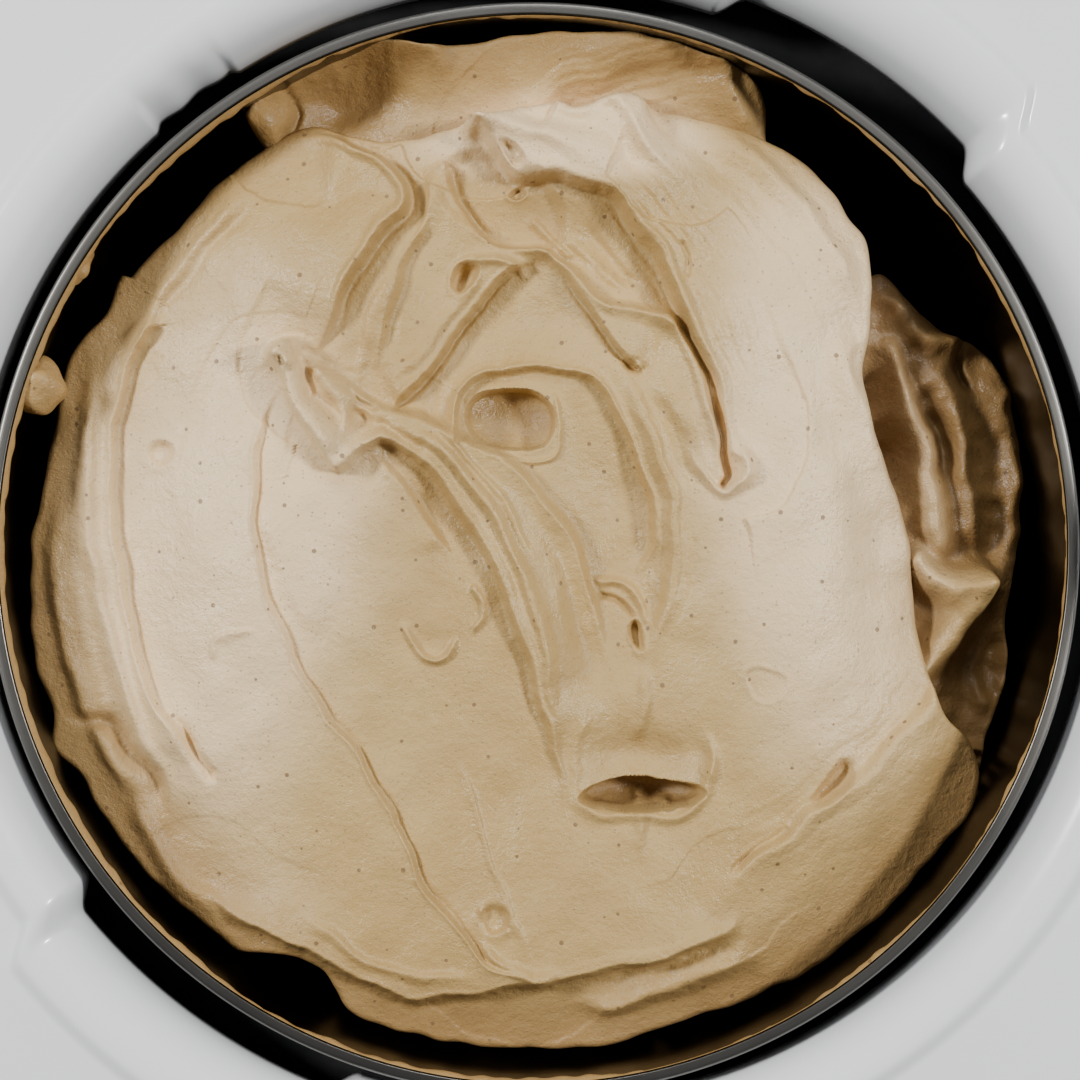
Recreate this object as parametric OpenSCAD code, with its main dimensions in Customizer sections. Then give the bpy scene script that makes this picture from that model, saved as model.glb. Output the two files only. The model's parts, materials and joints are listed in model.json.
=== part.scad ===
// Compressor ice cream maker with a lift-out metal bowl, a bottom-driven dasher and a loose lid.
// The origin is on the table under the middle of the housing; +Z is up and -Y is the front.

/* [Body] */
// Overall length of the housing
body_l = 424; // [420:1:520]
// Overall depth of the housing
body_w = 290; // [282:1:350]
// Height of the flat deck above the table
body_h = 240; // [234:1:290]
// Corner radius of the housing in plan
corner_r = 60; // [50:1:68]
// Rounding of the deck's outer edge
edge_r = 12; // [8:1:14]
// Wall thickness of the housing mouldings
wall = 3; // [2.5:0.5:4]
// Height of the top cover's skirt
cover_h = 46; // [40:1:54]
// Height of the base pan's wall
pan_h = 34; // [28:1:38]
// Height of the rubber feet
foot_h = 8; // [6:1:12]
// Open seam between two mouldings
seam = 0.6; // [0.4:0.1:1]

/* [Opening] */
// Distance from the housing's left end to the middle of the opening
opening_inset = 136; // [134:1:150]
// Radius of the opening at its lower lip
lip_r = 90; // [88:0.5:96]
// Width of the sloping band, seen from above
band_w = 8.3; // [6:0.1:10]
// Depth of the lip below the deck
band_drop = 9; // [6:0.5:12]
// How far the two finger notches widen the lip
notch_depth = 4; // [3:0.5:5]
// How far the notches widen the top of the band
notch_top = 5.6; // [4:0.1:7]
// Angle that one notch spans
notch_span = 29; // [20:1:40]
// Direction of the first notch, the second is opposite
notch_angle = 56; // [0:1:90]

/* [Bowl] */
// Inner radius of the lift-out bowl
bowl_r = 84.5; // [78:0.5:85]
// Wall thickness of the bowl
bowl_t = 1.2; // [1:0.1:2]
// Height of the bowl
bowl_h = 112; // [95:1:118]
// Radius of the rolled bead on the bowl's rim
bead_r = 1.2; // [1:0.1:1.5]
// Depth of the rim below the deck
rim_sink = 3; // [1:0.5:5]
// Rounding between the bowl's wall and floor
bowl_fillet = 12; // [8:1:16]
// How far the loose bowl has settled off the shaft's axis, along -X and along -Y
bowl_off = 0.8; // [0:0.1:0.8]
// Height of the hollow post in the middle of the bowl
post_h = 52; // [40:1:56]

/* [Drive] */
// Radius of the drive shaft
shaft_r = 4; // [3.5:0.1:4.5]
// Radius of the large pulley on the shaft
big_pulley_r = 52; // [40:1:56]
// Radius of the motor's pulley
small_pulley_r = 10; // [8:1:14]
// Distance from the shaft to the motor
motor_reach = 137; // [134:1:140]
// Radius of the mixing motor
motor_r = 25; // [20:1:26]

/* [Contents] */
// Depth of the ice cream's edge below the rim
ice_edge_sink = 34; // [20:1:50]
// Depth of the heap's top below the rim
ice_top_sink = 5; // [4:1:20]
// Space between the ice cream and the bowl's wall
ice_space = 3; // [2.5:0.5:5]

/* [Lid] */
// Thickness of the lid's plate
lid_t = 3; // [2.5:0.5:4]
// Clearance of the lid in the band and the notches
lid_gap = 0.8; // [0.5:0.1:1.2]
// Height of the lid's grip
grip_h = 18; // [14:1:24]

/* [Controls] */
// Width of the control panel
panel_w = 106; // [100:1:110]
// Height of the control panel
panel_h = 96; // [90:1:100]
// Depth of the recess that holds the controls
panel_recess = 16; // [12:1:20]
// Radius of the timer knob
knob_r = 21; // [16:1:22]

/* [Cooling] */
// Radius of the compressor's shell
compressor_r = 50; // [44:1:52]
// Height of the compressor's shell
compressor_h = 118; // [100:1:120]
// Radius of the evaporator's tube
coil_tube_r = 3.2; // [2.8:0.1:3.4]
// Turns of the evaporator's coil
coil_turns = 6; // [4:1:7]
// Size of the square fan
fan_size = 120; // [110:1:124]

/* [Hidden] */
$fn = 96;

// Small overlap that makes two solids one
eps = 0.01;
// Clearance between pieces that only stand near each other
gap = 0.3;
// Running clearance of a pin in a bore
run_fit = 0.1;
// Middle of the opening, the well and the drive shaft
bowl_x = opening_inset - body_l / 2;
pan_z = foot_h;
pan_top = pan_z + pan_h;
cover_z = body_h - cover_h;
shell_z = pan_top + seam;
shell_top = cover_z - seam;

// Bowl and well
band_r = lip_r + band_w;
rim_z = body_h - rim_sink;
bowl_z = rim_z - bowl_h;
bowl_out_r = bowl_r + bowl_t;
bowl_play = bowl_off * sqrt(2);
seat_gap = 0.2;
well_r = bowl_out_r + bowl_play + 0.9;
well_t = 1.5;
well_floor = bowl_z - seat_gap;
ring_depth = 22;
ring_back_r = band_r + 9;
collar_t = 3;
collar_skirt = 6;
collar_z = body_h - ring_depth - seam - collar_t;
well_top = collar_z;
boss_r = shaft_r + 2.2;
boss_h = 38;
boss_lip = 0.8;
seal_seat = 5;
post_in_r = boss_r + bowl_play + 0.8;
post_out_r = post_in_r + 1.4;
board_x = 16;
board_y = body_w / 2 - wall - 15;
board_z = 118;
post_top = bowl_z + bowl_t + post_h;

// Insulation and coil
coil_steps = 26;
coil_r = (well_r + well_t + gap + coil_tube_r) / cos(180 / coil_steps);
foam_in_r = coil_r + coil_tube_r + 1;
foam_t = 12;
foam_out_r = foam_in_r + foam_t;
foam_z = well_floor - well_t - gap;
foam_base_t = 14;
coil_z = foam_z + 10;
coil_pitch = (well_top - collar_skirt - coil_tube_r - 4 - coil_z) / coil_turns;
coil_top = coil_z + coil_pitch * coil_turns;
pipe_slot_w = 24;

// Drive
bracket_t = 3;
bracket_z = foam_z - foam_base_t - 16;
pulley_h = 14;
pulley_gap = 5;
pulley_z = bracket_z - pulley_gap - pulley_h;
motor_angle = 225;
motor_x = bowl_x + motor_reach * cos(motor_angle);
motor_y = motor_reach * sin(motor_angle);
motor_h = 82;
belt_t = 2;
belt_h = 8;
leg_angles = [50, 120, 178, 310];
leg_reach = big_pulley_r + 26;
hex_flats = 7;
hex_len = 12;
shaft_z = pulley_z - 6;
shaft_top = post_top + 2 + hex_len;

// Dasher
sleeve_in_r = post_out_r + bowl_play + 0.7;
sleeve_out_r = sleeve_in_r + 2.5;
head_z = post_top + 1.5;
head_top = shaft_top + 3;
dasher_r = bowl_r - bowl_play - 3;
dasher_z = bowl_z + bowl_t + 1.5;

// Ice cream
ice_r = bowl_r - bowl_play - ice_space;
ice_z = bowl_z + bowl_t + 0.6;

// Lid, standing on the deck beside the opening
lid_r = band_r - lid_gap - 1.5;
lid_x = body_l / 2 - lid_r - 2;
lid_foot_r = lip_r - lid_gap;
lid_foot_h = band_drop - 2;
lid_z = body_h;
lid_plate_z = lid_z + lid_foot_h;
ear_r = band_r + notch_top - lid_gap;
ear_span = notch_span - 4;
port_l = 52;
port_w = 30;
port_y = -52;
cap_t = 2.5;
hinge_y = port_y + port_w / 2 + 6;
hinge_r = 3;
hinge_pin_r = 1.2;
hinge_z = lid_plate_z + lid_t + hinge_r + gap;

// Controls
panel_x = body_l / 2 - corner_r - panel_w / 2 - 6;
panel_z = (shell_z + shell_top) / 2;
panel_t = 3;
panel_proud = 2;
panel_lip = 4;
front_y = -body_w / 2;
panel_face = front_y - panel_proud;
panel_floor = front_y + panel_recess;
knob_gap = 1;
knob_h = panel_recess + panel_proud - knob_gap;
knob_bore = 7;
spindle_r = 3;
knob_z = panel_z + 18;
rocker_w = 14;
rocker_h = 20;
rocker_tilt = 7;
rocker_dx = 26;
rocker_z = panel_z - 24;
rocker_pin_r = 1.5;
// Depth of the rockers' pivot behind the switch bodies' front
rocker_pin_y = 3;
switch_y = panel_floor + panel_t + gap;
rocker_axis_y = switch_y + rocker_pin_y;

// Cooling machinery
grille_l = 142;
grille_h = 104;
grille_z = (shell_z + shell_top) / 2;
rear_grille_x = 96;
fan_t = 18;
fan_x = body_l / 2 - wall - 52;
condenser_x = body_l / 2 - wall - 30;
condenser_t = 24;
machinery_z = 90;
compressor_x = fan_x - fan_t / 2 - compressor_r - 8;
compressor_y = 44;
compressor_z = pan_z + wall + 10;
condenser_fins = 22;
condenser_pitch = 6;
condenser_rows = 5;
condenser_row_pitch = 24;
condenser_end = condenser_fins * condenser_pitch / 2 + 2;
condenser_rise = (condenser_rows - 1) / 2 * condenser_row_pitch;
drier_l = 70;
drier_x = compressor_x - 30;
drier_y = -64;
drier_z = pan_z + wall + 22;
inlet_x = -40;
inlet_z = shell_z + 30;
inlet_w = 28;
inlet_h = 20;
socket_d = 17;
tie_r = 2;
boss_out_r = 6;
tie_reach = (corner_r - wall - boss_out_r - 0.1) / sqrt(2);
tie_x = body_l / 2 - corner_r + tie_reach;
tie_y = body_w / 2 - corner_r + tie_reach;
boss_z = cover_z + 6;
tie_head_r = 4.5;
tie_head_t = 3;
tie_bite = 12;

// Edges that locate the mouldings on each other
cover_lip = 8;
cover_lip_rise = 4;
pan_upstand = 5;
pan_web_h = 12;
air_slot_w = 5;
air_slot_pitch = 12;

// Feet
foot_inset_x = 52;
foot_inset_y = 46;
foot_r = 14;
foot_taper = 4;
foot_screw_r = 2;
foot_screw_seat = 2.5;
foot_head_r = 4.2;
foot_head_t = 1.8;

// Ends of the coil, which leave the foam on the side of the machinery
coil_lead = 8;
coil_lead_y = 7;

// Compressor's rubber mounts and pipe stubs
grommet_x = compressor_r - 3;
grommet_y = compressor_r - 14;
grommet_r = 8;
grommet_neck_r = 5;
stub_r = 4.5;
stub_rise = 9;
stub_x = compressor_r * 0.5;
stub_top = compressor_z + compressor_h + stub_rise + 0.5;

// ---------- shared shapes ----------

function unit(v) = v / norm(v);

// One point of a smooth curve through four points
function curve_point(a, b, c, d, t) =
    0.5 * ((2 * b) + (c - a) * t + (2 * a - 5 * b + 4 * c - d) * t * t + (3 * b - a - 3 * c + d) * t * t * t);

// A smooth curve through a list of points, with n steps between two points
function smooth_route(p, n) = concat(
    [for (i = [0 : len(p) - 2]) for (k = [0 : n - 1])
        curve_point(p[max(i - 1, 0)], p[i], p[i + 1], p[min(i + 2, len(p) - 1)], k / n)],
    [p[len(p) - 1]]);

// A round pipe swept along the points p
module pipe(p, r, sides = 8, up = [0, 0, 1]) {
    n = len(p);
    along = [for (i = [0 : n - 1]) unit(p[min(i + 1, n - 1)] - p[max(i - 1, 0)])];
    points = [for (i = [0 : n - 1])
        let (a = unit(cross(along[i], up)), b = cross(along[i], a))
        for (k = [0 : sides - 1]) p[i] + r * (cos(360 * k / sides) * a + sin(360 * k / sides) * b)];
    walls = [for (i = [0 : n - 2]) for (k = [0 : sides - 1])
        let (a = i * sides + k, b = i * sides + (k + 1) % sides)
        each [[a, b, b + sides], [a, b + sides, a + sides]]];
    caps = [for (k = [1 : sides - 2])
        each [[0, k + 1, k], [(n - 1) * sides, (n - 1) * sides + k, (n - 1) * sides + k + 1]]];
    polyhedron(points, concat(walls, caps));
}

// A flat-topped block with round corners in plan
module round_block(l, w, h, r) {
    translate([-l / 2 + r, -w / 2, 0]) cube([l - 2 * r, w, h]);
    translate([-l / 2, -w / 2 + r, 0]) cube([l, w - 2 * r, h]);
    for (x = [-1, 1], y = [-1, 1]) translate([x * (l / 2 - r), y * (w / 2 - r), 0]) cylinder(r = r, h = h);
}

// Half of the section of a block with a rounded top edge
module edge_section(half, h, e) {
    square([half, h - e]);
    square([half - e, h]);
    translate([half - e, h - e]) circle(e);
}

// A block with round corners in plan and a rounded top edge
module soft_block(l, w, h, r, e) {
    for (turn = [0, 1]) {
        run = turn == 0 ? l - 2 * r : w - 2 * r;
        half = turn == 0 ? w / 2 : l / 2;
        rotate([90, 0, 90 + 90 * turn]) translate([0, 0, -run / 2]) linear_extrude(run) {
            edge_section(half, h, e);
            mirror([1, 0]) edge_section(half, h, e);
        }
    }
    for (x = [-1, 1], y = [-1, 1]) translate([x * (l / 2 - r), y * (w / 2 - r), 0])
        rotate_extrude() edge_section(r, h, e);
}

// A ring with a rectangular section
module ring(r_out, r_in, h) {
    difference() {
        cylinder(r = r_out, h = h);
        translate([0, 0, -1]) cylinder(r = r_in, h = h + 2);
    }
}

module at_bowl(z = 0) translate([bowl_x, 0, z]) children();

module at_settled_bowl(z = 0) translate([bowl_x - bowl_off, -bowl_off, z]) children();

module at_lid(z = 0) translate([lid_x, 0, z]) children();

module at_ties(z = 0) for (x = [-1, 1], y = [-1, 1]) translate([x * tie_x, y * tie_y, z]) children();

// A sector that is cut out of the band, or filled by one of the lid's ears
module notch_sector(span, inner, low_r, high_r, low, high) {
    for (side = [0, 180]) rotate([0, 0, notch_angle + side - span / 2])
        rotate_extrude(angle = span) polygon([
            [inner, low], [low_r, low], [low_r, -band_drop], [high_r, 0], [high_r, high], [inner, high]]);
}

// ---------- housing ----------

module top_cover() color("white") {
    difference() {
        union() {
            difference() {
                translate([0, 0, cover_z]) soft_block(body_l, body_w, cover_h, corner_r, edge_r);
                translate([0, 0, cover_z - eps])
                    soft_block(body_l - 2 * wall, body_w - 2 * wall, cover_h - wall + eps,
                        corner_r - wall, edge_r - wall);
            }
            at_bowl(body_h - ring_depth) cylinder(r = ring_back_r, h = ring_depth - eps);
            at_ties(boss_z) cylinder(r = boss_out_r, h = body_h - edge_r / 2 - boss_z);
        }
        at_bowl(body_h - ring_depth - 1) cylinder(r = lip_r, h = ring_depth + 2);
        at_bowl(body_h - band_drop) cylinder(r1 = lip_r, r2 = band_r + band_w / band_drop, h = band_drop + 1);
        at_bowl(body_h)
            notch_sector(notch_span, lip_r - 5, lip_r + notch_depth, band_r + notch_top, -ring_depth - 1, 1);
        at_ties(boss_z - 1) cylinder(r = tie_r + run_fit, h = tie_bite + 4);
    }
}

module side_shell() color("white") {
    difference() {
        union() {
            translate([0, 0, shell_z]) difference() {
                round_block(body_l, body_w, shell_top - shell_z, corner_r);
                translate([0, 0, -1])
                    round_block(body_l - 2 * wall, body_w - 2 * wall, shell_top - shell_z + 2, corner_r - wall);
            }
            // Lip that locates the top cover
            translate([0, 0, shell_top - cover_lip]) difference() {
                round_block(body_l - 2 * wall + eps, body_w - 2 * wall + eps,
                    cover_lip + seam + cover_lip_rise, corner_r - wall);
                translate([0, 0, -1])
                    round_block(body_l - 4 * wall, body_w - 4 * wall, 2 * cover_lip, corner_r - 2 * wall);
                translate([0, 0, cover_lip]) difference() {
                    round_block(body_l, body_w, cover_lip, corner_r);
                    translate([0, 0, -1]) round_block(body_l - 2 * wall - 2 * gap, body_w - 2 * wall - 2 * gap,
                        cover_lip + 2, corner_r - wall - gap);
                }
            }
        }
        translate([body_l / 2 - 2 * wall, -grille_l / 2, grille_z - grille_h / 2])
            cube([4 * wall, grille_l, grille_h]);
        translate([rear_grille_x - grille_l / 2 + 20, body_w / 2 - 2 * wall, grille_z - grille_h / 2])
            cube([grille_l - 40, 4 * wall, grille_h]);
        translate([panel_x - panel_w / 2 + panel_lip, front_y - wall, panel_z - panel_h / 2 + panel_lip])
            cube([panel_w - 2 * panel_lip, 4 * wall, panel_h - 2 * panel_lip]);
        translate([inlet_x - inlet_w / 2 - gap, body_w / 2 - 2 * wall, inlet_z - inlet_h / 2 - gap])
            cube([inlet_w + 2 * gap, 4 * wall, inlet_h + 2 * gap]);
    }
}

module base_pan() color("gainsboro") {
    difference() {
        union() {
            translate([0, 0, pan_z]) difference() {
                round_block(body_l, body_w, pan_h, corner_r);
                translate([0, 0, wall])
                    round_block(body_l - 2 * wall, body_w - 2 * wall, pan_h, corner_r - wall);
            }
            // Upstand that locates the side shell
            translate([0, 0, pan_z + wall - eps]) difference() {
                round_block(body_l - 2 * wall - 2 * gap, body_w - 2 * wall - 2 * gap,
                    pan_h - wall + pan_upstand, corner_r - wall - gap);
                translate([0, 0, -1]) round_block(body_l - 4 * wall - 2 * gap, body_w - 4 * wall - 2 * gap,
                    pan_h + pan_upstand + 3, corner_r - 2 * wall - gap);
            }
            // Web that joins the upstand to the wall
            translate([0, 0, pan_z + wall - eps]) difference() {
                round_block(body_l - wall, body_w - wall, pan_web_h, corner_r - wall / 2);
                translate([0, 0, -1])
                    round_block(body_l - 4 * wall, body_w - 4 * wall, pan_web_h + 2, corner_r - 2 * wall);
            }
        }
        at_ties(pan_z - 1) cylinder(r = tie_r + run_fit, h = wall + 2);
        // Air slots under the compressor and under the drive
        for (i = [0 : 8]) translate([compressor_x - 48 + i * air_slot_pitch, -58, pan_z - 1])
            cube([air_slot_w, 44, wall + 2]);
        for (i = [0 : 5]) translate([bowl_x - 38 + i * air_slot_pitch, 60, pan_z - 1])
            cube([air_slot_w, 40, wall + 2]);
    }
}

module feet_places() for (x = [-1, 1], y = [-1, 1])
    translate([x * (body_l / 2 - foot_inset_x), y * (body_w / 2 - foot_inset_y), 0]) children();

module rubber_feet() color("dimgray") feet_places() difference() {
    union() {
        cylinder(r1 = foot_r - 2, r2 = foot_r, h = foot_taper);
        translate([0, 0, foot_taper]) cylinder(r = foot_r, h = foot_h - foot_taper);
    }
    translate([0, 0, -1]) cylinder(r = foot_head_r + 0.8, h = foot_screw_seat + 1);
    translate([0, 0, -1]) cylinder(r = foot_screw_r + run_fit, h = foot_h + 2);
}

module foot_screws() color("silver") feet_places() {
    translate([0, 0, foot_screw_seat - foot_head_t]) cylinder(r = foot_head_r, h = foot_head_t);
    translate([0, 0, foot_screw_seat - 0.1]) cylinder(r = foot_screw_r, h = foot_h - foot_screw_seat + 0.1);
}

module tie_screws() color("silver") at_ties() {
    translate([0, 0, pan_z - tie_head_t]) cylinder(r = tie_head_r, h = tie_head_t);
    translate([0, 0, pan_z - eps]) cylinder(r = tie_r, h = boss_z - pan_z + tie_bite);
}

// ---------- well and insulation ----------

module well_collar() color("black") at_bowl(collar_z) {
    skirt_r = well_r + well_t + gap;
    ring(ring_back_r, well_r, collar_t);
    translate([0, 0, -collar_skirt]) ring(skirt_r + 2, skirt_r, collar_skirt + eps);
}

module cooling_well() color("silver") at_bowl(well_floor - well_t) difference() {
    cylinder(r = well_r + well_t, h = well_top - well_floor + well_t);
    translate([0, 0, well_t]) cylinder(r = well_r, h = well_top - well_floor + 1);
    translate([0, 0, -1]) cylinder(r = shaft_r + run_fit, h = well_t + 2);
}

// The boss stands on the well's floor, carries the shaft's upper end and holds the seal in its mouth
module well_boss() color("gainsboro") at_bowl(well_floor) difference() {
    cylinder(r = boss_r, h = boss_h - well_t);
    translate([0, 0, -1]) cylinder(r = shaft_r + run_fit, h = boss_h + 2);
    translate([0, 0, boss_h - well_t - seal_seat]) cylinder(r = boss_r - boss_lip, h = seal_seat + 1);
}

// The coil's points climb round the well and leave it at both ends
module evaporator_coil() color("peru") {
    turns = [for (i = [0 : coil_turns * coil_steps]) let (a = 360 * i / coil_steps)
        [bowl_x + coil_r * cos(a), coil_r * sin(a), coil_z + coil_pitch * i / coil_steps]];
    pipe(concat(
        [[bowl_x + foam_out_r + coil_lead, -coil_lead_y, coil_z - 2],
            [bowl_x + coil_r + coil_lead, -coil_lead_y, coil_z - 1.5]],
        turns,
        [[bowl_x + coil_r + coil_lead, coil_lead_y, coil_top],
            [bowl_x + foam_out_r + coil_lead, coil_lead_y, coil_top]]),
        coil_tube_r);
}

module foam_jacket() color("khaki") at_bowl() difference() {
    translate([0, 0, foam_z]) ring(foam_out_r, foam_in_r, collar_z - foam_z - 16);
    translate([foam_in_r - 8, -pipe_slot_w / 2, foam_z - 1]) cube([foam_t + 20, pipe_slot_w, collar_z]);
}

module foam_base() color("khaki") at_bowl(foam_z - foam_base_t) ring(foam_out_r, 18, foam_base_t - gap);

// ---------- bowl and contents ----------

module freezer_bowl() color("gray") at_settled_bowl(bowl_z) rotate_extrude() {
    corner = bowl_out_r - bowl_fillet;
    difference() {
        union() {
            translate([post_in_r, 0]) square([corner - post_in_r, bowl_fillet]);
            translate([post_in_r, bowl_fillet - eps]) square([bowl_out_r - post_in_r,
                bowl_h - bowl_fillet - bead_r]);
            translate([corner, bowl_fillet]) circle(bowl_fillet);
        }
        translate([post_out_r, bowl_t]) square([corner - post_out_r, bowl_fillet]);
        translate([post_out_r, bowl_fillet - eps]) square([bowl_r - post_out_r, bowl_h]);
        translate([corner, bowl_fillet]) circle(bowl_fillet - bowl_t);
        translate([0, post_h + bowl_t]) square([post_out_r + 1, bowl_h]);
    }
    translate([bowl_out_r - bowl_t / 2 + bead_r / 3, bowl_h - bead_r]) circle(bead_r);
}

module ice_cream() color("wheat") at_bowl() {
    edge = rim_z - ice_edge_sink;
    top = rim_z - ice_top_sink;
    rise = top - edge;
    steps = 12;
    fullness = 2.2;
    dome = [for (k = [0 : steps]) let (s = k / steps) [ice_r * (1 - s),
        edge + rise * (1 - pow(1 - s, fullness))]];
    rotate_extrude() polygon(concat(
        [[sleeve_in_r + 1, ice_z], [ice_r - bowl_fillet, ice_z], [ice_r - 4, ice_z + 4],
            [ice_r, ice_z + bowl_fillet]],
        dome,
        [[0, shaft_top + 2], [sleeve_in_r + 1, shaft_top + 2]]));
}

module dasher() color("ivory") at_bowl() {
    arm_t = 5;
    arm_w = 14;
    arm_z = dasher_z + arm_t - eps;
    blade_h = 40;
    blade_t = 3;
    scraper_w = 14;
    scraper_turn = 52;
    paddle_turn = 28;
    fin_r = dasher_r * 0.55;
    difference() {
        union() {
            translate([0, 0, dasher_z]) cylinder(r = sleeve_out_r, h = head_top - dasher_z);
            for (a = [0, 180]) rotate([0, 0, a]) {
                // Arm, wall scraper and inner paddle
                translate([sleeve_in_r + 1, -arm_w / 2, dasher_z])
                    cube([dasher_r - sleeve_in_r - 9, arm_w, arm_t]);
                translate([dasher_r - scraper_w, -arm_w / 2 + 1, arm_z]) rotate([0, 0, scraper_turn])
                    cube([scraper_w, blade_t, blade_h]);
                translate([fin_r, -arm_w / 2 + 1, arm_z]) rotate([0, 0, paddle_turn])
                    cube([blade_t, arm_w - 1, blade_h * 0.7]);
            }
            for (a = [90, 270]) rotate([0, 0, a])
                translate([sleeve_in_r + 1, -arm_w / 3, dasher_z])
                    cube([fin_r - sleeve_in_r, arm_w * 2 / 3, arm_t]);
        }
        translate([0, 0, dasher_z - 1]) cylinder(r = sleeve_in_r, h = head_z - dasher_z + 1);
        translate([0, 0, head_z - 1]) cylinder(d = (hex_flats + 2 * gap) / cos(30), h = hex_len + 2.5, $fn = 6);
    }
}

// ---------- drive ----------

module drive_shaft() color("silver") at_bowl() {
    translate([0, 0, shaft_z]) cylinder(r = shaft_r, h = post_top + 1 - shaft_z);
    translate([0, 0, post_top + 1 - eps])
        cylinder(d = hex_flats / cos(30), h = shaft_top - post_top - 1, $fn = 6);
}

module shaft_seal() color("dimgray") at_bowl(well_floor - well_t + boss_h - seal_seat)
    ring(boss_r - boss_lip, shaft_r + run_fit, seal_seat - 1);

module shaft_bearing() color("lightgray") at_bowl(bracket_z + bracket_t) ring(11, shaft_r + run_fit, 8);

module driven_pulley() color("whitesmoke") at_bowl(pulley_z) {
    rim_t = 5;
    web_t = 3;
    hub_r = 14;
    hole_r = 9;
    difference() {
        cylinder(r = big_pulley_r + 2, h = pulley_h);
        translate([0, 0, web_t]) ring(big_pulley_r - rim_t, hub_r, pulley_h);
        translate([0, 0, -1]) cylinder(r = shaft_r, h = pulley_h + 2);
        translate([0, 0, (pulley_h - belt_h) / 2 - 0.5]) ring(big_pulley_r + 4, big_pulley_r, belt_h + 1);
        for (a = [0 : 60 : 300]) rotate([0, 0, a]) translate([(big_pulley_r + hole_r) / 2, 0, -1])
            cylinder(r = hole_r, h = 2 * web_t);
    }
}

module motor_pulley() color("whitesmoke") translate([motor_x, motor_y, pulley_z]) difference() {
    union() {
        cylinder(r = small_pulley_r + 2, h = pulley_h);
        translate([0, 0, pulley_h - eps]) cylinder(r = 4, h = pulley_gap + bracket_t - gap);
    }
    translate([0, 0, (pulley_h - belt_h) / 2 - 0.5]) ring(small_pulley_r + 4, small_pulley_r, belt_h + 1);
}

// The outline of a loop round both pulleys, grow mm outside them
function belt_loop(grow) =
    let (big = big_pulley_r + grow, small = small_pulley_r + grow,
        lean = acos((big - small) / motor_reach), n = 24)
    concat(
        [for (k = [0 : n]) let (a = -lean + 2 * lean * k / n) [motor_reach + small * cos(a), small * sin(a)]],
        [for (k = [0 : 2 * n]) let (a = lean + (360 - 2 * lean) * k / (2 * n)) [big * cos(a), big * sin(a)]]);

module drive_belt() color("black") at_bowl(pulley_z + (pulley_h - belt_h) / 2) rotate([0, 0, motor_angle])
    difference() {
        linear_extrude(belt_h) polygon(belt_loop(gap + belt_t));
        translate([0, 0, -1]) linear_extrude(belt_h + 2) polygon(belt_loop(gap));
    }

module mixing_motor() color("slategray") translate([motor_x, motor_y, bracket_z + bracket_t + gap]) {
    neck_h = 18;
    tail_r = 9;
    tail_h = 5;
    cylinder(r = motor_r - 3, h = neck_h);
    translate([0, 0, neck_h - eps]) cylinder(r = motor_r, h = motor_h - neck_h);
    translate([0, 0, motor_h - 2 * eps]) cylinder(r = tail_r, h = tail_h);
}

module bracket_leg_places() for (a = leg_angles)
    translate([bowl_x + leg_reach * cos(a), leg_reach * sin(a), 0]) children();

module drive_bracket() color("silver") difference() {
    hub_r = 34;
    pad_r = 9;
    strap_w = 14;
    union() {
        at_bowl(bracket_z) cylinder(r = hub_r, h = bracket_t);
        bracket_arm();
        translate([motor_x, motor_y, bracket_z]) cylinder(r = motor_r, h = bracket_t);
        bracket_leg_places() translate([0, 0, bracket_z]) cylinder(r = pad_r, h = bracket_t);
        for (a = leg_angles) at_bowl(bracket_z) rotate([0, 0, a]) translate([0, -strap_w / 2, 0])
            cube([leg_reach, strap_w, bracket_t]);
    }
    at_bowl(bracket_z - 1) cylinder(r = shaft_r + 1, h = bracket_t + 2);
    translate([motor_x, motor_y, bracket_z - 1]) cylinder(r = 6, h = bracket_t + 2);
}

// The bracket's arm from the shaft to the motor
module bracket_arm() at_bowl(bracket_z) rotate([0, 0, motor_angle])
    translate([0, -16, 0]) cube([motor_reach, 32, bracket_t]);

module bracket_legs() color("lightgray") bracket_leg_places()
    translate([0, 0, pan_z + wall]) cylinder(r = 6, h = bracket_z - pan_z - wall);

// ---------- cooling ----------

module compressor() color("dimgray") translate([compressor_x, compressor_y, compressor_z]) {
    dome = 16;
    rotate_extrude() {
        translate([0, dome]) square([compressor_r, compressor_h - 2 * dome]);
        square([compressor_r - dome, compressor_h]);
        for (z = [dome, compressor_h - dome]) translate([compressor_r - dome, z]) circle(dome);
    }
    difference() {
        translate([-compressor_r - 6, -compressor_r + 6, 2])
            cube([2 * compressor_r + 12, 2 * compressor_r - 12, 4]);
        for (x = [-1, 1], y = [-1, 1]) translate([x * grommet_x, y * grommet_y, 1])
            cylinder(r = grommet_neck_r + gap, h = 6);
    }
    translate([0, -compressor_r + 4, compressor_h * 0.55]) rotate([90, 0, 0]) cylinder(r = 14, h = 16);
    for (x = [-1, 1]) translate([x * stub_x, 0, compressor_h - 3]) cylinder(r = stub_r, h = stub_rise + 3);
}

module compressor_grommets() color("black") for (x = [-1, 1], y = [-1, 1])
    translate([compressor_x + x * grommet_x, compressor_y + y * grommet_y, pan_z + wall]) {
        cylinder(r = grommet_r, h = compressor_z + 2 - pan_z - wall);
        cylinder(r = grommet_neck_r, h = compressor_z + 8 - pan_z - wall);
    }

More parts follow.
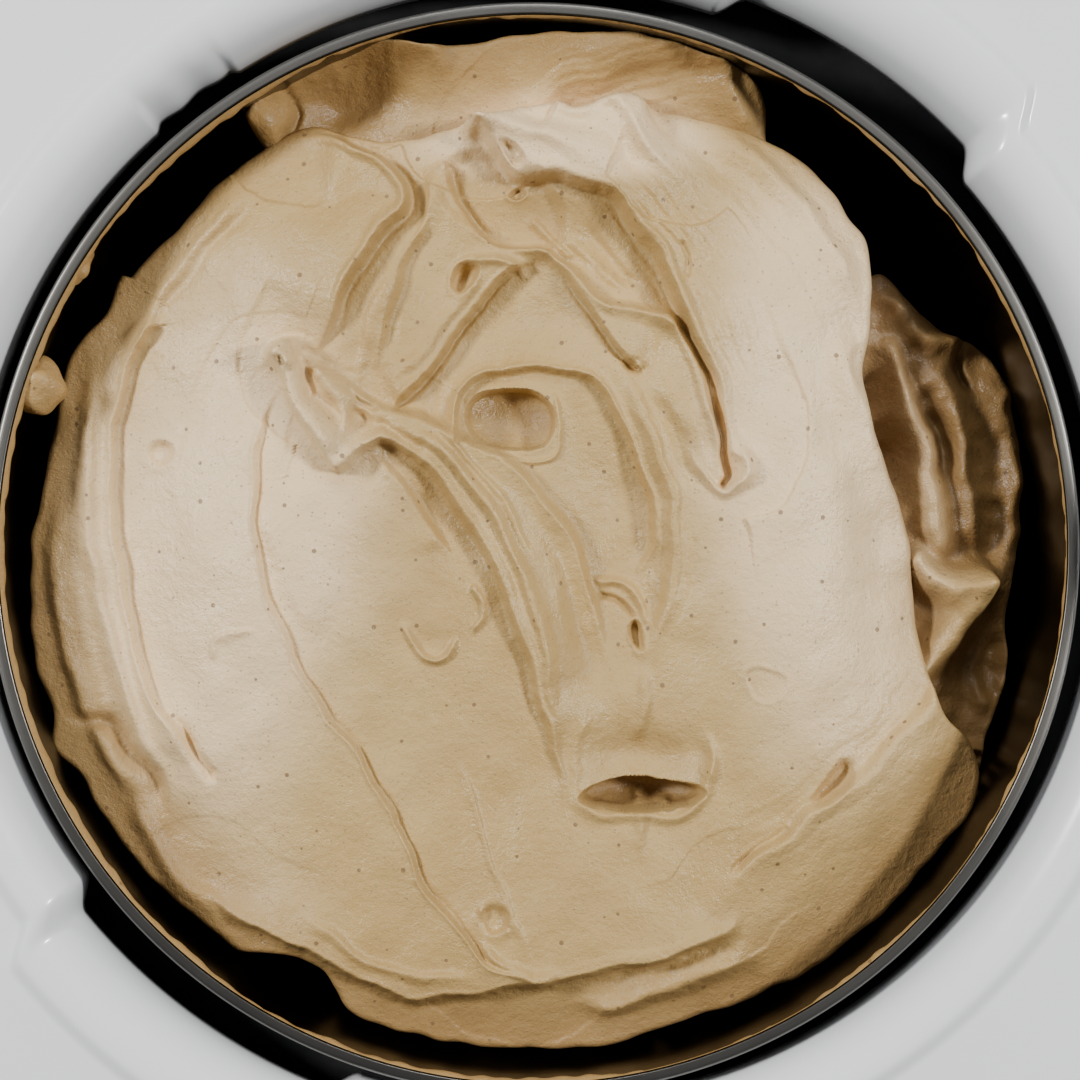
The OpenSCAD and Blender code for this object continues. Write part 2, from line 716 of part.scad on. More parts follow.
module condenser() color("silver") {
    tube_r = 3.5;
    fin_t = 0.8;
    end_t = 1.2;
    half = condenser_end - 2;
    // End plates that stand on the pan
    for (s = [-1, 1]) translate([condenser_x - condenser_t / 2, s * (half - 1) - end_t / 2, pan_z + wall])
        cube([condenser_t, end_t, machinery_z + fan_size / 2 - pan_z - wall]);
    translate([condenser_x, 0, machinery_z]) {
        for (i = [1 : condenser_fins - 2])
            translate([-condenser_t / 2, (i + 0.5) * condenser_pitch - half - fin_t / 2, -fan_size / 2])
                cube([condenser_t, fin_t, fan_size]);
        for (k = [0 : condenser_rows - 1]) translate([0, 0, k * condenser_row_pitch - condenser_rise]) {
            rotate([90, 0, 0]) cylinder(r = tube_r, h = 2 * condenser_end, center = true);
            // Return bends, on alternate ends
            if (k < condenser_rows - 1)
                translate([0, (k % 2 == 0 ? 1 : -1) * (condenser_end - eps), condenser_row_pitch / 2])
                rotate([0, k % 2 == 0 ? 90 : -90, k % 2 == 0 ? 0 : 180])
                    rotate_extrude(angle = 180) translate([condenser_row_pitch / 2, 0]) circle(tube_r);
        }
    }
}

module fan_frame() color("darkslategray") translate([fan_x, 0, machinery_z]) rotate([0, 90, 0]) {
    hole_r = fan_size / 2 - 3;
    hub_r = 18;
    difference() {
        translate([-fan_size / 2, -fan_size / 2, -fan_t / 2]) cube([fan_size, fan_size, fan_t]);
        translate([0, 0, -fan_t]) cylinder(r = hole_r, h = 2 * fan_t);
    }
    translate([0, 0, -fan_t / 2]) cylinder(r = hub_r, h = 3);
    translate([0, 0, -fan_t / 2]) cylinder(r = 2, h = fan_t - 6);
    for (s = [-1, 1]) translate([fan_size / 2 - eps, s * (fan_size / 2 - 12) - 6, -fan_t / 2])
        cube([machinery_z - fan_size / 2 - pan_z - wall, 12, fan_t]);
    for (a = [0, 90, 180, 270]) rotate([0, 0, a + 45]) translate([hub_r - 2, -2, -fan_t / 2])
        cube([hole_r - hub_r + 3, 4, 3]);
}

module fan_rotor() color("black") translate([fan_x, 0, machinery_z]) rotate([0, 90, 0]) difference() {
    blade_r = fan_size / 2 - 6;
    hub_r = 17;
    union() {
        translate([0, 0, -fan_t / 2 + 4]) cylinder(r = hub_r, h = fan_t - 5);
        for (a = [0 : 360 / 7 : 359]) rotate([0, 0, a]) translate([hub_r - 3, 0, 0.5]) rotate([32, 0, 0])
            translate([0, -9, -0.7]) cube([blade_r - hub_r + 1, 18, 1.4]);
    }
    translate([0, 0, -fan_t / 2]) cylinder(r = 2 + run_fit, h = fan_t - 5);
}

module discharge_pipe() color("peru") pipe(smooth_route([
    [compressor_x + stub_x, compressor_y, stub_top],
    [compressor_x + stub_x, compressor_y, stub_top + 6.5],
    [compressor_x + stub_x * 1.4, compressor_y + 8, stub_top + 14.5],
    [condenser_x - 14, condenser_end + 12, machinery_z + condenser_rise + 24],
    [condenser_x, condenser_end + 12, machinery_z + condenser_rise + 6],
    [condenser_x, condenser_end + 6, machinery_z + condenser_rise],
    [condenser_x, condenser_end + 0.4, machinery_z + condenser_rise]], 5), 2.5, 8, [1, 0.2, 0.1]);

module suction_pipe() color("peru") {
    pipe(smooth_route([
        [bowl_x + foam_out_r + coil_lead + 1.2, coil_lead_y, coil_top],
        [bowl_x + foam_out_r + coil_lead + 6, coil_lead_y, coil_top],
        [compressor_x - stub_x - 8, 16, coil_top - 10],
        [compressor_x - stub_x, compressor_y - 4, stub_top + 12.5],
        [compressor_x - stub_x, compressor_y, stub_top + 4.5],
        [compressor_x - stub_x, compressor_y, stub_top]], 5), 3.2, 8, [0.1, 1, 0.15]);
}

module filter_drier() color("peru") translate([drier_x, drier_y, drier_z]) rotate([0, 90, 0]) {
    cylinder(r = 9, h = drier_l, center = true);
    for (s = [-1, 1]) translate([0, 0, s * drier_l / 2]) cylinder(r = 4, h = 16, center = true);
}

module liquid_pipe() color("peru") {
    pipe(smooth_route([
        [condenser_x, -condenser_end - 0.4, machinery_z - condenser_rise],
        [condenser_x, -condenser_end - 7, machinery_z - condenser_rise],
        [condenser_x - 12, -condenser_end - 13, machinery_z - condenser_rise],
        [fan_x - 16, -condenser_end - 10, drier_z + 2],
        [drier_x + drier_l / 2 + 18, drier_y - 2, drier_z],
        [drier_x + drier_l / 2 + 8.4, drier_y, drier_z]], 5), 2, 8, [0.2, 0.1, 1]);
    pipe(smooth_route([
        [drier_x - drier_l / 2 - 8.4, drier_y, drier_z],
        [drier_x - drier_l / 2 - 15, drier_y, drier_z + 3],
        [drier_x - drier_l / 2 - 12, drier_y + 10, drier_z + 24],
        [bowl_x + foam_out_r + coil_lead + 6, -34, coil_z - 40],
        [bowl_x + foam_out_r + coil_lead + 10, -12, coil_z - 12],
        [bowl_x + foam_out_r + coil_lead + 6, -coil_lead_y, coil_z - 2],
        [bowl_x + foam_out_r + coil_lead + 0.6, -coil_lead_y, coil_z - 2]], 5), 1.4, 8, [0.1, 0.2, 1]);
}

// ---------- grilles ----------

// A louvred panel that lies in the XZ plane and faces -Y
module louvres(l, h) {
    frame = 7;
    pitch = 8;
    count = floor((h - 2 * frame) / pitch);
    slat_t = 1.6;
    slat_w = 5.2;
    slat_tilt = 38;
    difference() {
        translate([-l / 2, -1.2, -h / 2]) cube([l, 3.2, h]);
        translate([-l / 2 + frame, -3, -count * pitch / 2]) cube([l - 2 * frame, 8, count * pitch]);
    }
    for (i = [0 : count - 1]) translate([-l / 2 + frame - 1, 0.4, (i + 0.5 - count / 2) * pitch])
        rotate([slat_tilt, 0, 0]) translate([0, -1, -slat_w / 2]) cube([l - 2 * frame + 2, slat_t, slat_w]);
    for (x = [-l / 6, l / 6]) translate([x - 1.5, -0.6, -h / 2 + 2]) cube([3, 2, h - 4]);
}

module side_grille() color("gainsboro") translate([body_l / 2 - 2, 0, grille_z]) rotate([0, 0, 90])
    louvres(grille_l - 2 * gap, grille_h - 2 * gap);

module rear_grille() color("gainsboro") translate([rear_grille_x, body_w / 2 - 2, grille_z]) rotate([0, 0, 180])
    louvres(grille_l - 40 - 2 * gap, grille_h - 2 * gap);

// ---------- controls ----------

module control_panel() color("lightgray") {
    in_w = panel_w - 2 * panel_lip - 2 * gap;
    in_h = panel_h - 2 * panel_lip - 2 * gap;
    tray_t = 2;
    difference() {
        union() {
            translate([panel_x - panel_w / 2, panel_face, panel_z - panel_h / 2])
                cube([panel_w, panel_proud, panel_h]);
            translate([panel_x - in_w / 2, front_y - eps, panel_z - in_h / 2])
                cube([in_w, panel_recess + panel_t + eps, in_h]);
        }
        translate([panel_x - in_w / 2 + tray_t, panel_face - 1, panel_z - in_h / 2 + tray_t])
            cube([in_w - 2 * tray_t, panel_floor - panel_face + 1, in_h - 2 * tray_t]);
        translate([panel_x, panel_floor - 1, knob_z]) rotate([-90, 0, 0])
            cylinder(r = spindle_r + 2, h = panel_t + 2);
        for (s = [-1, 1])
            translate([panel_x + s * rocker_dx - rocker_w / 2 - 0.5, panel_floor - 1, rocker_z - rocker_h / 2 - 1])
            cube([rocker_w + 1, panel_t + 2, rocker_h + 2]);
        translate([panel_x, panel_floor - 1, rocker_z]) rotate([-90, 0, 0]) cylinder(r = 3.5, h = panel_t + 2);
    }
}

module timer_unit() color("beige") difference() {
    case_w = 44;
    case_d = 24;
    union() {
        translate([panel_x - case_w / 2, switch_y, knob_z - case_w / 2]) cube([case_w, case_d, case_w]);
        translate([panel_x, switch_y + 1, knob_z]) rotate([90, 0, 0])
            cylinder(r = spindle_r, h = switch_y + 1 - panel_floor + knob_bore);
    }
    // Flat on the spindle
    translate([panel_x + spindle_r / 2, panel_floor - knob_bore - 1, knob_z - 5]) cube([4, knob_bore - 1, 10]);
}

module timer_knob() color("white") translate([panel_x, panel_floor - knob_gap, knob_z]) rotate([90, 0, 0])
    difference() {
        union() {
            cylinder(r = knob_r, h = 5);
            translate([0, 0, 5 - eps]) cylinder(r1 = knob_r - 1.5, r2 = knob_r - 3, h = knob_h - 5);
        }
        translate([0, 0, -1]) cylinder(r = spindle_r + run_fit, h = knob_bore + 1);
        // Pointer groove in the knob's face
        translate([-1, 4, knob_h - 1.4]) cube([2, knob_r, 2.4]);
    }

module switch_bodies() color("black") for (s = [-1, 1]) translate([panel_x + s * rocker_dx, switch_y, rocker_z])
    difference() {
        translate([-rocker_w / 2 - 2.4, 0, -rocker_h / 2 - 2.5]) cube([rocker_w + 4.8, 20, rocker_h + 5]);
        translate([-rocker_w / 2 - 0.5, -1, -rocker_h / 2 - 1]) cube([rocker_w + 1, 14, rocker_h + 2]);
        translate([0, rocker_pin_y, 0]) rotate([0, 90, 0])
            cylinder(r = rocker_pin_r + run_fit, h = rocker_w + 3.4, center = true);
    }

module rocker() rotate([-rocker_tilt, 0, 0]) {
    reach = rocker_axis_y - panel_floor;
    rotate([90, 0, 90]) translate([0, 0, -rocker_w / 2]) linear_extrude(rocker_w) polygon([
        [-reach - 3.2, -rocker_h / 2], [-reach - 1.2, 0], [-reach - 3.2, rocker_h / 2],
        [-2, rocker_h / 2 - 1.5], [4, 3], [4, -3], [-2, -rocker_h / 2 + 1.5]]);
    rotate([0, 90, 0]) cylinder(r = rocker_pin_r, h = rocker_w + 3, center = true);
}

module mixing_rocker() color("black") translate([panel_x - rocker_dx, rocker_axis_y, rocker_z]) rocker();

module cooling_rocker() color("black") translate([panel_x + rocker_dx, rocker_axis_y, rocker_z]) rocker();

module indicator_lamp() color("limegreen") translate([panel_x, panel_floor - 0.8, rocker_z])
    rotate([-90, 0, 0]) {
    cylinder(r = 3.3, h = 9);
    translate([0, 0, 8]) cylinder(r = 4.4, h = 6);
}

// ---------- electrics ----------

module circuit_board() color("darkgreen") translate([board_x - 40, board_y, board_z]) {
    cube([60, 1.6, 56]);
    translate([6, -11, 8]) cube([18, 11 + eps, 16]);
    translate([32, -9, 30]) cube([20, 9 + eps, 16]);
    translate([12, eps, 40]) rotate([90, 0, 0]) cylinder(r = 6, h = 14);
    // Stand-offs to the rear wall
    for (x = [5, 55], z = [5, 51]) translate([x, 1, z]) rotate([-90, 0, 0])
        cylinder(r = 3, h = body_w / 2 - wall - board_y - 1);
}

module run_capacitor() color("lightgray") translate([-4, 112, pan_z + wall + gap]) {
    can_h = 52;
    cylinder(r = 15, h = can_h);
    for (x = [-4, 4]) translate([x, 0, can_h - eps]) cylinder(r = 2, h = 6);
}

module mains_inlet() color("black") translate([inlet_x, body_w / 2, inlet_z]) difference() {
    inlet_d = 22;
    flange = 4;
    flange_t = 2;
    socket_wall = 2.5;
    union() {
        translate([-inlet_w / 2, -inlet_d, -inlet_h / 2]) cube([inlet_w, inlet_d, inlet_h]);
        translate([-inlet_w / 2 - flange, 0, -inlet_h / 2 - flange])
            cube([inlet_w + 2 * flange, flange_t, inlet_h + 2 * flange]);
    }
    translate([-inlet_w / 2 + socket_wall, -socket_d, -inlet_h / 2 + socket_wall])
        cube([inlet_w - 2 * socket_wall, socket_d + flange_t + 1, inlet_h - 2 * socket_wall]);
}

module inlet_pins() color("silver") for (p = [[-7, 1], [0, -3], [7, 1]])
    translate([inlet_x + p[0] - 1, body_w / 2 - socket_d, inlet_z + p[1] - 2]) cube([2, socket_d - 2, 4]);

// ---------- lid ----------

module lid() color([0.85, 0.9, 0.95, 0.6]) at_lid() difference() {
    union() {
        translate([0, 0, lid_z]) rotate_extrude() polygon([
            [lid_foot_r - 4, 0], [lid_foot_r, 0], [lid_r, lid_foot_h], [lid_r, lid_foot_h + lid_t],
            [0, lid_foot_h + lid_t], [0, lid_foot_h], [lid_foot_r - 4, lid_foot_h]]);
        translate([0, 0, lid_plate_z]) for (side = [0, 180]) rotate([0, 0, notch_angle + side - ear_span / 2])
            rotate_extrude(angle = ear_span) translate([lid_r - 4, 0]) square([ear_r - lid_r + 4, lid_t]);
        // Ears of the filling cap's hinge
        for (s = [-1, 1]) translate([s * (port_l / 2 - 2) - 2, hinge_y, hinge_z]) {
            rotate([0, 90, 0]) cylinder(r = hinge_r, h = 4);
            translate([0, 0.2 - hinge_r, lid_plate_z - hinge_z + 1])
                cube([4, 2 * hinge_r - 0.4, hinge_z - lid_plate_z - 1]);
        }
    }
    translate([-port_l / 2, port_y - port_w / 2, lid_z]) cube([port_l, port_w, 20]);
    translate([0, 0, lid_z]) cylinder(r = 2 + run_fit, h = 20);
    translate([0, hinge_y, hinge_z]) rotate([0, 90, 0])
        cylinder(r = hinge_pin_r + run_fit, h = port_l + 10, center = true);
}

module lid_gasket() color("white") at_lid(lid_z + 1) ring(lid_foot_r - 4.2, lid_foot_r - 8,
    lid_foot_h - 1 - gap);

module lid_grip() color("white") at_lid(lid_plate_z + lid_t) difference() {
    cap_r = 17;
    cap_h = 7;
    edge = 2;
    rotate_extrude() {
        square([cap_r, 4]);
        square([11, grip_h]);
        translate([0, grip_h - cap_h]) square([cap_r, cap_h - edge]);
        translate([0, grip_h - cap_h]) square([cap_r - edge, cap_h]);
        translate([cap_r - edge, grip_h - edge]) circle(edge);
    }
    translate([0, 0, -1]) cylinder(r = 2, h = 11);
}

module grip_screw() color("silver") at_lid() {
    translate([0, 0, lid_plate_z - 2]) cylinder(r = 4, h = 2);
    translate([0, 0, lid_plate_z - eps]) cylinder(r = 1.95, h = lid_t + 8);
}

module fill_cap() color([0.85, 0.9, 0.95, 0.6]) at_lid() difference() {
    union() {
        translate([-port_l / 2 - 1, port_y - port_w / 2 - 4, lid_plate_z + lid_t + gap])
            cube([port_l + 2, hinge_y - hinge_r - gap - port_y + port_w / 2 + 4, cap_t]);
        translate([-port_l / 2 + 4.5, hinge_y - hinge_r - 2, lid_plate_z + lid_t + gap])
            cube([port_l - 9, hinge_r + 2, cap_t]);
        translate([0, hinge_y, hinge_z]) rotate([0, 90, 0])
            cylinder(r = hinge_r, h = port_l - 9, center = true);
        translate([-8, port_y - port_w / 2 - 9, lid_plate_z + lid_t + gap]) cube([16, 6, cap_t]);
    }
    translate([0, hinge_y, hinge_z]) rotate([0, 90, 0])
        cylinder(r = hinge_pin_r + run_fit, h = port_l + 10, center = true);
}

module cap_hinge_pin() color("silver") at_lid() translate([0, hinge_y, hinge_z]) rotate([0, 90, 0])
    cylinder(r = hinge_pin_r, h = port_l + 4, center = true);

top_cover();
side_shell();
base_pan();
rubber_feet();
foot_screws();
tie_screws();
well_collar();
cooling_well();
well_boss();
evaporator_coil();
foam_jacket();
foam_base();
freezer_bowl();
ice_cream();
dasher();
drive_shaft();
shaft_seal();
shaft_bearing();
driven_pulley();
drive_belt();
motor_pulley();
mixing_motor();
drive_bracket();
bracket_legs();
compressor();
compressor_grommets();
condenser();
fan_frame();
fan_rotor();
discharge_pipe();
suction_pipe();
liquid_pipe();
filter_drier();
side_grille();
rear_grille();
control_panel();
timer_unit();
timer_knob();
switch_bodies();
mixing_rocker();
cooling_rocker();
indicator_lamp();
circuit_board();
run_capacitor();
mains_inlet();
inlet_pins();
lid();
lid_gasket();
lid_grip();
grip_screw();
fill_cap();
cap_hinge_pin();
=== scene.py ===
"""The looks of a compressor ice cream maker, seen from above with the bowl full of fresh ice cream.

Lengths in this script are millimetres until a mesh is made. The ice cream is drawn about the drive shaft,
with +X to the right and +Y to the rear, and its heights count from the top of the bowl's rim.
"""
import json
import math
import bpy
import numpy as np
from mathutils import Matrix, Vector


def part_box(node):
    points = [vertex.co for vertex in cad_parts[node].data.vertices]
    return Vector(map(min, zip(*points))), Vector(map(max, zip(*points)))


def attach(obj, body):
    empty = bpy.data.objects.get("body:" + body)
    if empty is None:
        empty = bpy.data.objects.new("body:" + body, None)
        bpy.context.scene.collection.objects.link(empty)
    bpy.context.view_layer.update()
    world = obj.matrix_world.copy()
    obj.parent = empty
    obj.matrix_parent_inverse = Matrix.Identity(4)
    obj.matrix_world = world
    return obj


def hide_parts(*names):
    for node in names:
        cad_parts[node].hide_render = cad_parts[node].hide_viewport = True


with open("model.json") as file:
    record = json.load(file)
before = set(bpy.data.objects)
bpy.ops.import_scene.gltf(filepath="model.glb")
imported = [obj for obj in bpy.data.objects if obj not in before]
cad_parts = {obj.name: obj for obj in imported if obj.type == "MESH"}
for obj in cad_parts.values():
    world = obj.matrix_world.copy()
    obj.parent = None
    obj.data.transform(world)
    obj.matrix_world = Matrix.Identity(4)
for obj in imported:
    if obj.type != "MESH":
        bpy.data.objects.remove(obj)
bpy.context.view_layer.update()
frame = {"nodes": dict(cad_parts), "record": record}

# ---------------------------------------------------------------- places and camera
# The opening's axis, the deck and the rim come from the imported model. The camera hangs over the bowl and
# looks straight down, a little to the right and behind the axis.
MM = 0.001


def box_mm(node):
    """The lowest and highest corner of a CAD node, in millimetres."""
    low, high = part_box(node)
    return np.array(low) / MM, np.array(high) / MM


shaft_low, shaft_high = box_mm("drive_shaft")
cover_low, cover_high = box_mm("top_cover")
bowl_low, bowl_high = box_mm("freezer_bowl")
axis_x = (shaft_low[0] + shaft_high[0]) / 2
axis_y = (shaft_low[1] + shaft_high[1]) / 2
bowl_x = (bowl_low[0] + bowl_high[0]) / 2
bowl_y = (bowl_low[1] + bowl_high[1]) / 2
deck_z = cover_high[2]
rim_z = bowl_high[2]
camera_rise = 380
camera_shift = (0.34, 0.63)
sensor_width = 36
view_half_width = 0.22314  # at a distance of 1

camera = bpy.data.objects.new("camera", bpy.data.cameras.new("camera"))
camera.location = ((axis_x + camera_shift[0]) * MM, (axis_y + camera_shift[1]) * MM,
                   (deck_z + camera_rise) * MM)
camera.data.sensor_width = sensor_width
camera.data.lens = sensor_width / 2 / view_half_width
bpy.context.scene.collection.objects.link(camera)
bpy.context.scene.camera = camera


# ---------------------------------------------------------------- shader formulas
# Materials are built from formulas: a Value stands for a socket, and sums, products and powers of Values
# make the nodes that work them out.


class Value:
    """One output of a shader node, which can be written into formulas."""

    def __init__(self, tree, socket):
        self.tree = tree
        self.socket = socket

    def node(self, kind, inputs, output=0, **settings):
        """Another node of this tree, with its inputs set from Values or numbers, as a Value."""
        made = self.tree.nodes.new(kind)
        for key, setting in settings.items():
            setattr(made, key, setting)
        for key, value in inputs.items():
            if isinstance(value, Value):
                self.tree.links.new(value.socket, made.inputs[key])
            else:
                made.inputs[key].default_value = value
        return Value(self.tree, made.outputs[output])

    def _math(self, operation, first, second):
        return self.node("ShaderNodeMath", {0: first, 1: second}, operation=operation)

    def __add__(self, other):
        return self._math("ADD", self, other)

    __radd__ = __add__

    def __sub__(self, other):
        return self._math("SUBTRACT", self, other)

    def __rsub__(self, other):
        return self._math("SUBTRACT", other, self)

    def __mul__(self, other):
        return self._math("MULTIPLY", self, other)

    def __truediv__(self, other):
        return self._math("DIVIDE", self, other)

    def __pow__(self, other):
        return self._math("POWER", self, other)


def new_material(name, color, roughness, **constants):
    """A material with fixed Principled values; returns (material, its Principled node, object coordinates)."""
    made = bpy.data.materials.new(name)
    made.use_nodes = True
    shader = made.node_tree.nodes["Principled BSDF"]
    shader.inputs["Base Color"].default_value = (*color, 1)
    shader.inputs["Roughness"].default_value = roughness
    for key, value in constants.items():
        shader.inputs[key.replace("_", " ")].default_value = value
    coordinates = made.node_tree.nodes.new("ShaderNodeTexCoord")
    return made, shader, Value(made.node_tree, coordinates.outputs["Object"])


def noise(point, scale, detail=2, roughness=0.5):
    """Soft noise from 0 to 1 with about scale lumps per metre."""
    inputs = {"Vector": point, "Scale": scale, "Detail": detail, "Roughness": roughness}
    return point.node("ShaderNodeTexNoise", inputs)


def band(value, low, high, start=0.0, end=1.0):
    """start where value is at or below low, end where it is at or above high, and smooth between."""
    inputs = {"Value": value, "From Min": low, "From Max": high, "To Min": start, "To Max": end}
    return value.node("ShaderNodeMapRange", inputs, interpolation_type="SMOOTHSTEP")


def blend_colors(share, first, second):
    """The colour first where share is 0 and second where it is 1."""
    inputs = {"Factor": share, 6: first, 7: second}
    return share.node("ShaderNodeMix", inputs, output=2, data_type="RGBA")


def stretched(point, x, y, z):
    """The coordinates multiplied by a factor on each axis."""
    return point.node("ShaderNodeVectorMath", {0: point, 1: (x, y, z)}, operation="MULTIPLY")


def connect(value, shader, name):
    value.tree.links.new(value.socket, shader.inputs[name])


def bumps(shader, height, depth):
    """Relief of that depth in metres from a height between 0 and 1."""
    relief = height.node("ShaderNodeBump", {"Height": height, "Distance": depth, "Strength": 1.0})
    connect(relief, shader, "Normal")


def rgb(r, g, b):
    return (r, g, b, 1)


# ---------------------------------------------------------------- mesh helpers
# A surface is a grid of points: rows by columns by three coordinates. Grids can close on themselves either way.


def grid_quads(rows, columns, close_rows=False, close_columns=False):
    """The quads between neighbouring points of a grid, as point numbers."""
    r = np.arange(rows if close_rows else rows - 1)[:, None]
    c = np.arange(columns if close_columns else columns - 1)[None, :]
    r2 = (r + 1) % rows
    c2 = (c + 1) % columns
    corners = [r * columns + c, r * columns + c2, r2 * columns + c2, r2 * columns + c]
    return np.stack([np.broadcast_to(k, (r.size, c.size)) for k in corners], axis=-1).reshape(-1, 4)


def add_piece(name, points, quads, material, body):
    """Makes a smooth mesh from points in millimetres in the row frame, and lets it ride on a body."""
    mesh = bpy.data.meshes.new(name)
    mesh.from_pydata((np.asarray(points).reshape(-1, 3) * MM).tolist(), [], quads.tolist())
    mesh.validate()
    mesh.shade_smooth()
    piece = bpy.data.objects.new(name, mesh)
    mesh.materials.append(material)
    bpy.context.scene.collection.objects.link(piece)
    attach(piece, body)
    return piece


def smooth_path(points, steps=8, closed=False):
    """A Catmull-Rom curve through the points, with that many steps between two of them."""
    p = np.asarray(points, float)
    ends = (p[-1:], p[:1], p[1:2]) if closed else (p[:1], p[-1:], p[:0])
    q = np.vstack([ends[0], p, ends[1], ends[2]])
    t = np.linspace(0, 1, steps, endpoint=False)[:, None]
    spans = [0.5 * (2 * b + (c - a) * t + (2 * a - 5 * b + 4 * c - d) * t**2 + (3 * b - a - 3 * c + d) * t**3)
             for a, b, c, d in zip(q[:-3], q[1:-2], q[2:-1], q[3:])]
    return np.vstack(spans if closed else spans + [p[-1:]])


def ease(t):
    """0 up to t = 0, 1 from t = 1, and smooth between: 3 t^2 - 2 t^3."""
    t = np.clip(t, 0, 1)
    return t * t * (3 - 2 * t)


def waves(x, y, size, seed):
    """Smooth random ups and downs, about -1 to 1, with lumps about size across: a sum of plane waves."""
    count = 14
    random = np.random.default_rng(seed)
    total = np.zeros_like(x)
    for turn, phase, stretch in random.uniform((0, 0, 0.6), (2 * np.pi, 2 * np.pi, 1.7), (count, 3)):
        total += np.sin((x * np.cos(turn) + y * np.sin(turn)) * 2 * np.pi * stretch / (2 * size) + phase)
    return total / 3.7


# ---------------------------------------------------------------- top cover
# The white glossy moulding: flat deck, soft round ring that dips to the lip, two wide notches in the ring
# beside the bowl, and the skirt that caps the housing. Injection-moulded, polished, with faint waviness.
lip_r = 90.0
band_r = 98.3
lip_drop = 9.0
notch_directions = (56, 233.8)
notch_halves = (14.4, 16.2)
notch_blend = 3.2
relief_direction = 127.6
relief_half = 5.4
lip_widening = 4.0
band_widening = 5.6
lip_t = 3.0
crest_rise = 1.2
cover_wall = 3.0
corner_r = 60.0
edge_r = 12.0
cover_half = ((cover_high[0] - cover_low[0]) / 2, (cover_high[1] - cover_low[1]) / 2)


def rounded_profile(corners, radii, steps=7):
    """A polyline with each inner corner replaced by an arc that touches both sides."""
    out = [np.array(corners[0], float)]
    for before, at, after, r in zip(corners[:-2], corners[1:-1], corners[2:], radii):
        before, at, after = (np.array(v, float) for v in (before, at, after))
        u = (before - at) / np.linalg.norm(before - at)
        v = (after - at) / np.linalg.norm(after - at)
        half = math.acos(np.clip(u @ v, -1, 1)) / 2
        middle = at + (u + v) / np.linalg.norm(u + v) * r / math.sin(half)
        first = at + u * r / math.tan(half) - middle
        last = at + v * r / math.tan(half) - middle
        for s in np.linspace(0, 1, steps):
            swing = first * (1 - s) + last * s
            out.append(middle + swing / np.linalg.norm(swing) * r)
    return np.array(out + [np.array(corners[-1], float)])


def notch_amount(turn):
    """1 in a notch, 0 outside, with slanted ends; turn is in degrees."""
    total = np.zeros_like(turn)
    for direction, half in zip(notch_directions, notch_halves):
        away = np.abs((turn - direction + 180) % 360 - 180)
        total += ease((half + notch_blend / 2 - away) / notch_blend)
    return total


def housing_edge(turn):
    """How far the housing's outline is from the opening's axis: a rectangle with round corners."""
    direction = np.stack([np.cos(turn), np.sin(turn)], axis=-1)
    low, high = np.zeros(turn.size), np.full(turn.size, 600.0)
    core = np.array(cover_half) - corner_r
    centre = np.array([axis_x, axis_y]) - (cover_low[:2] + cover_high[:2]) / 2
    for _ in range(40):
        middle = (low + high) / 2
        past_core = np.maximum(np.abs(centre + middle[:, None] * direction) - core, 0)
        outside = np.linalg.norm(past_core, axis=1) > corner_r
        high = np.where(outside, middle, high)
        low = np.where(outside, low, middle)
    return low


def cover_points(columns=1440):
    """The cover's closed surface, as rows round the opening: lip, band, deck, rounded edge, skirt, inside."""
    turn = np.arange(columns) * 2 * np.pi / columns
    notch = notch_amount(np.degrees(turn))
    # A shallow irregular relief in the lip, left of the rear
    relief = ease((relief_half - np.abs(np.degrees(turn) - relief_direction)) / 1.2)
    relief = relief * (0.9 + 0.25 * np.sin(np.degrees(turn) * 1.3))
    inner = lip_r + lip_widening * notch + relief
    outer = band_r + band_widening * notch
    # Under the lip, then a quarter ellipse that bulges up to the crest, then a small step down to the deck
    swing = np.linspace(0, np.pi / 2, 22)
    share = np.concatenate([[0.3, 0.02], 1 - np.cos(swing)])
    rise = np.concatenate([[-lip_drop - lip_t] * 2, (lip_drop + crest_rise) * np.sin(swing) - lip_drop])
    fall = np.linspace(0, 1, 9)[1:]
    radius = inner + share[:, None] * (outer - inner)
    radius = np.vstack([radius, outer + 3.2 * fall[:, None]])
    rise = np.concatenate([rise, crest_rise * (1 - ease(fall))])[:, None] * np.ones(columns)
    edge = housing_edge(turn)[None, :]
    deck_start = radius[-1:, :]
    flat = np.linspace(0, 1, 9)[1:, None]
    deck = deck_start + (edge - edge_r - deck_start) * flat
    bend = np.linspace(0, np.pi / 2, 10)[1:, None]
    turned = edge - edge_r + edge_r * np.sin(bend)
    turned_z = edge_r * (np.cos(bend) - 1) * np.ones((1, columns))
    skirt_z = cover_low[2] - deck_z
    down = np.linspace(-edge_r, skirt_z, 6)[1:, None] * np.ones((1, columns))
    inside = edge - cover_wall
    rows_r = [radius, deck, turned, np.repeat(edge, 5, 0), inside, inside, inside - edge_r, deck_start + 9,
              deck_start + 6, inner[None, :] + 4]
    rows_z = [rise, deck * 0, turned_z, down, edge * 0 + skirt_z, edge * 0 - edge_r, edge * 0 - cover_wall,
              edge * 0 - cover_wall, edge * 0 - lip_drop - lip_t + 2, edge * 0 - lip_drop - lip_t]
    r = np.vstack(rows_r)
    z = np.vstack([np.broadcast_to(k, (k.shape[0], columns)) for k in rows_z])
    x = axis_x + r * np.cos(turn)
    y = axis_y + r * np.sin(turn)
    return np.stack([x, y, deck_z + z], axis=-1)


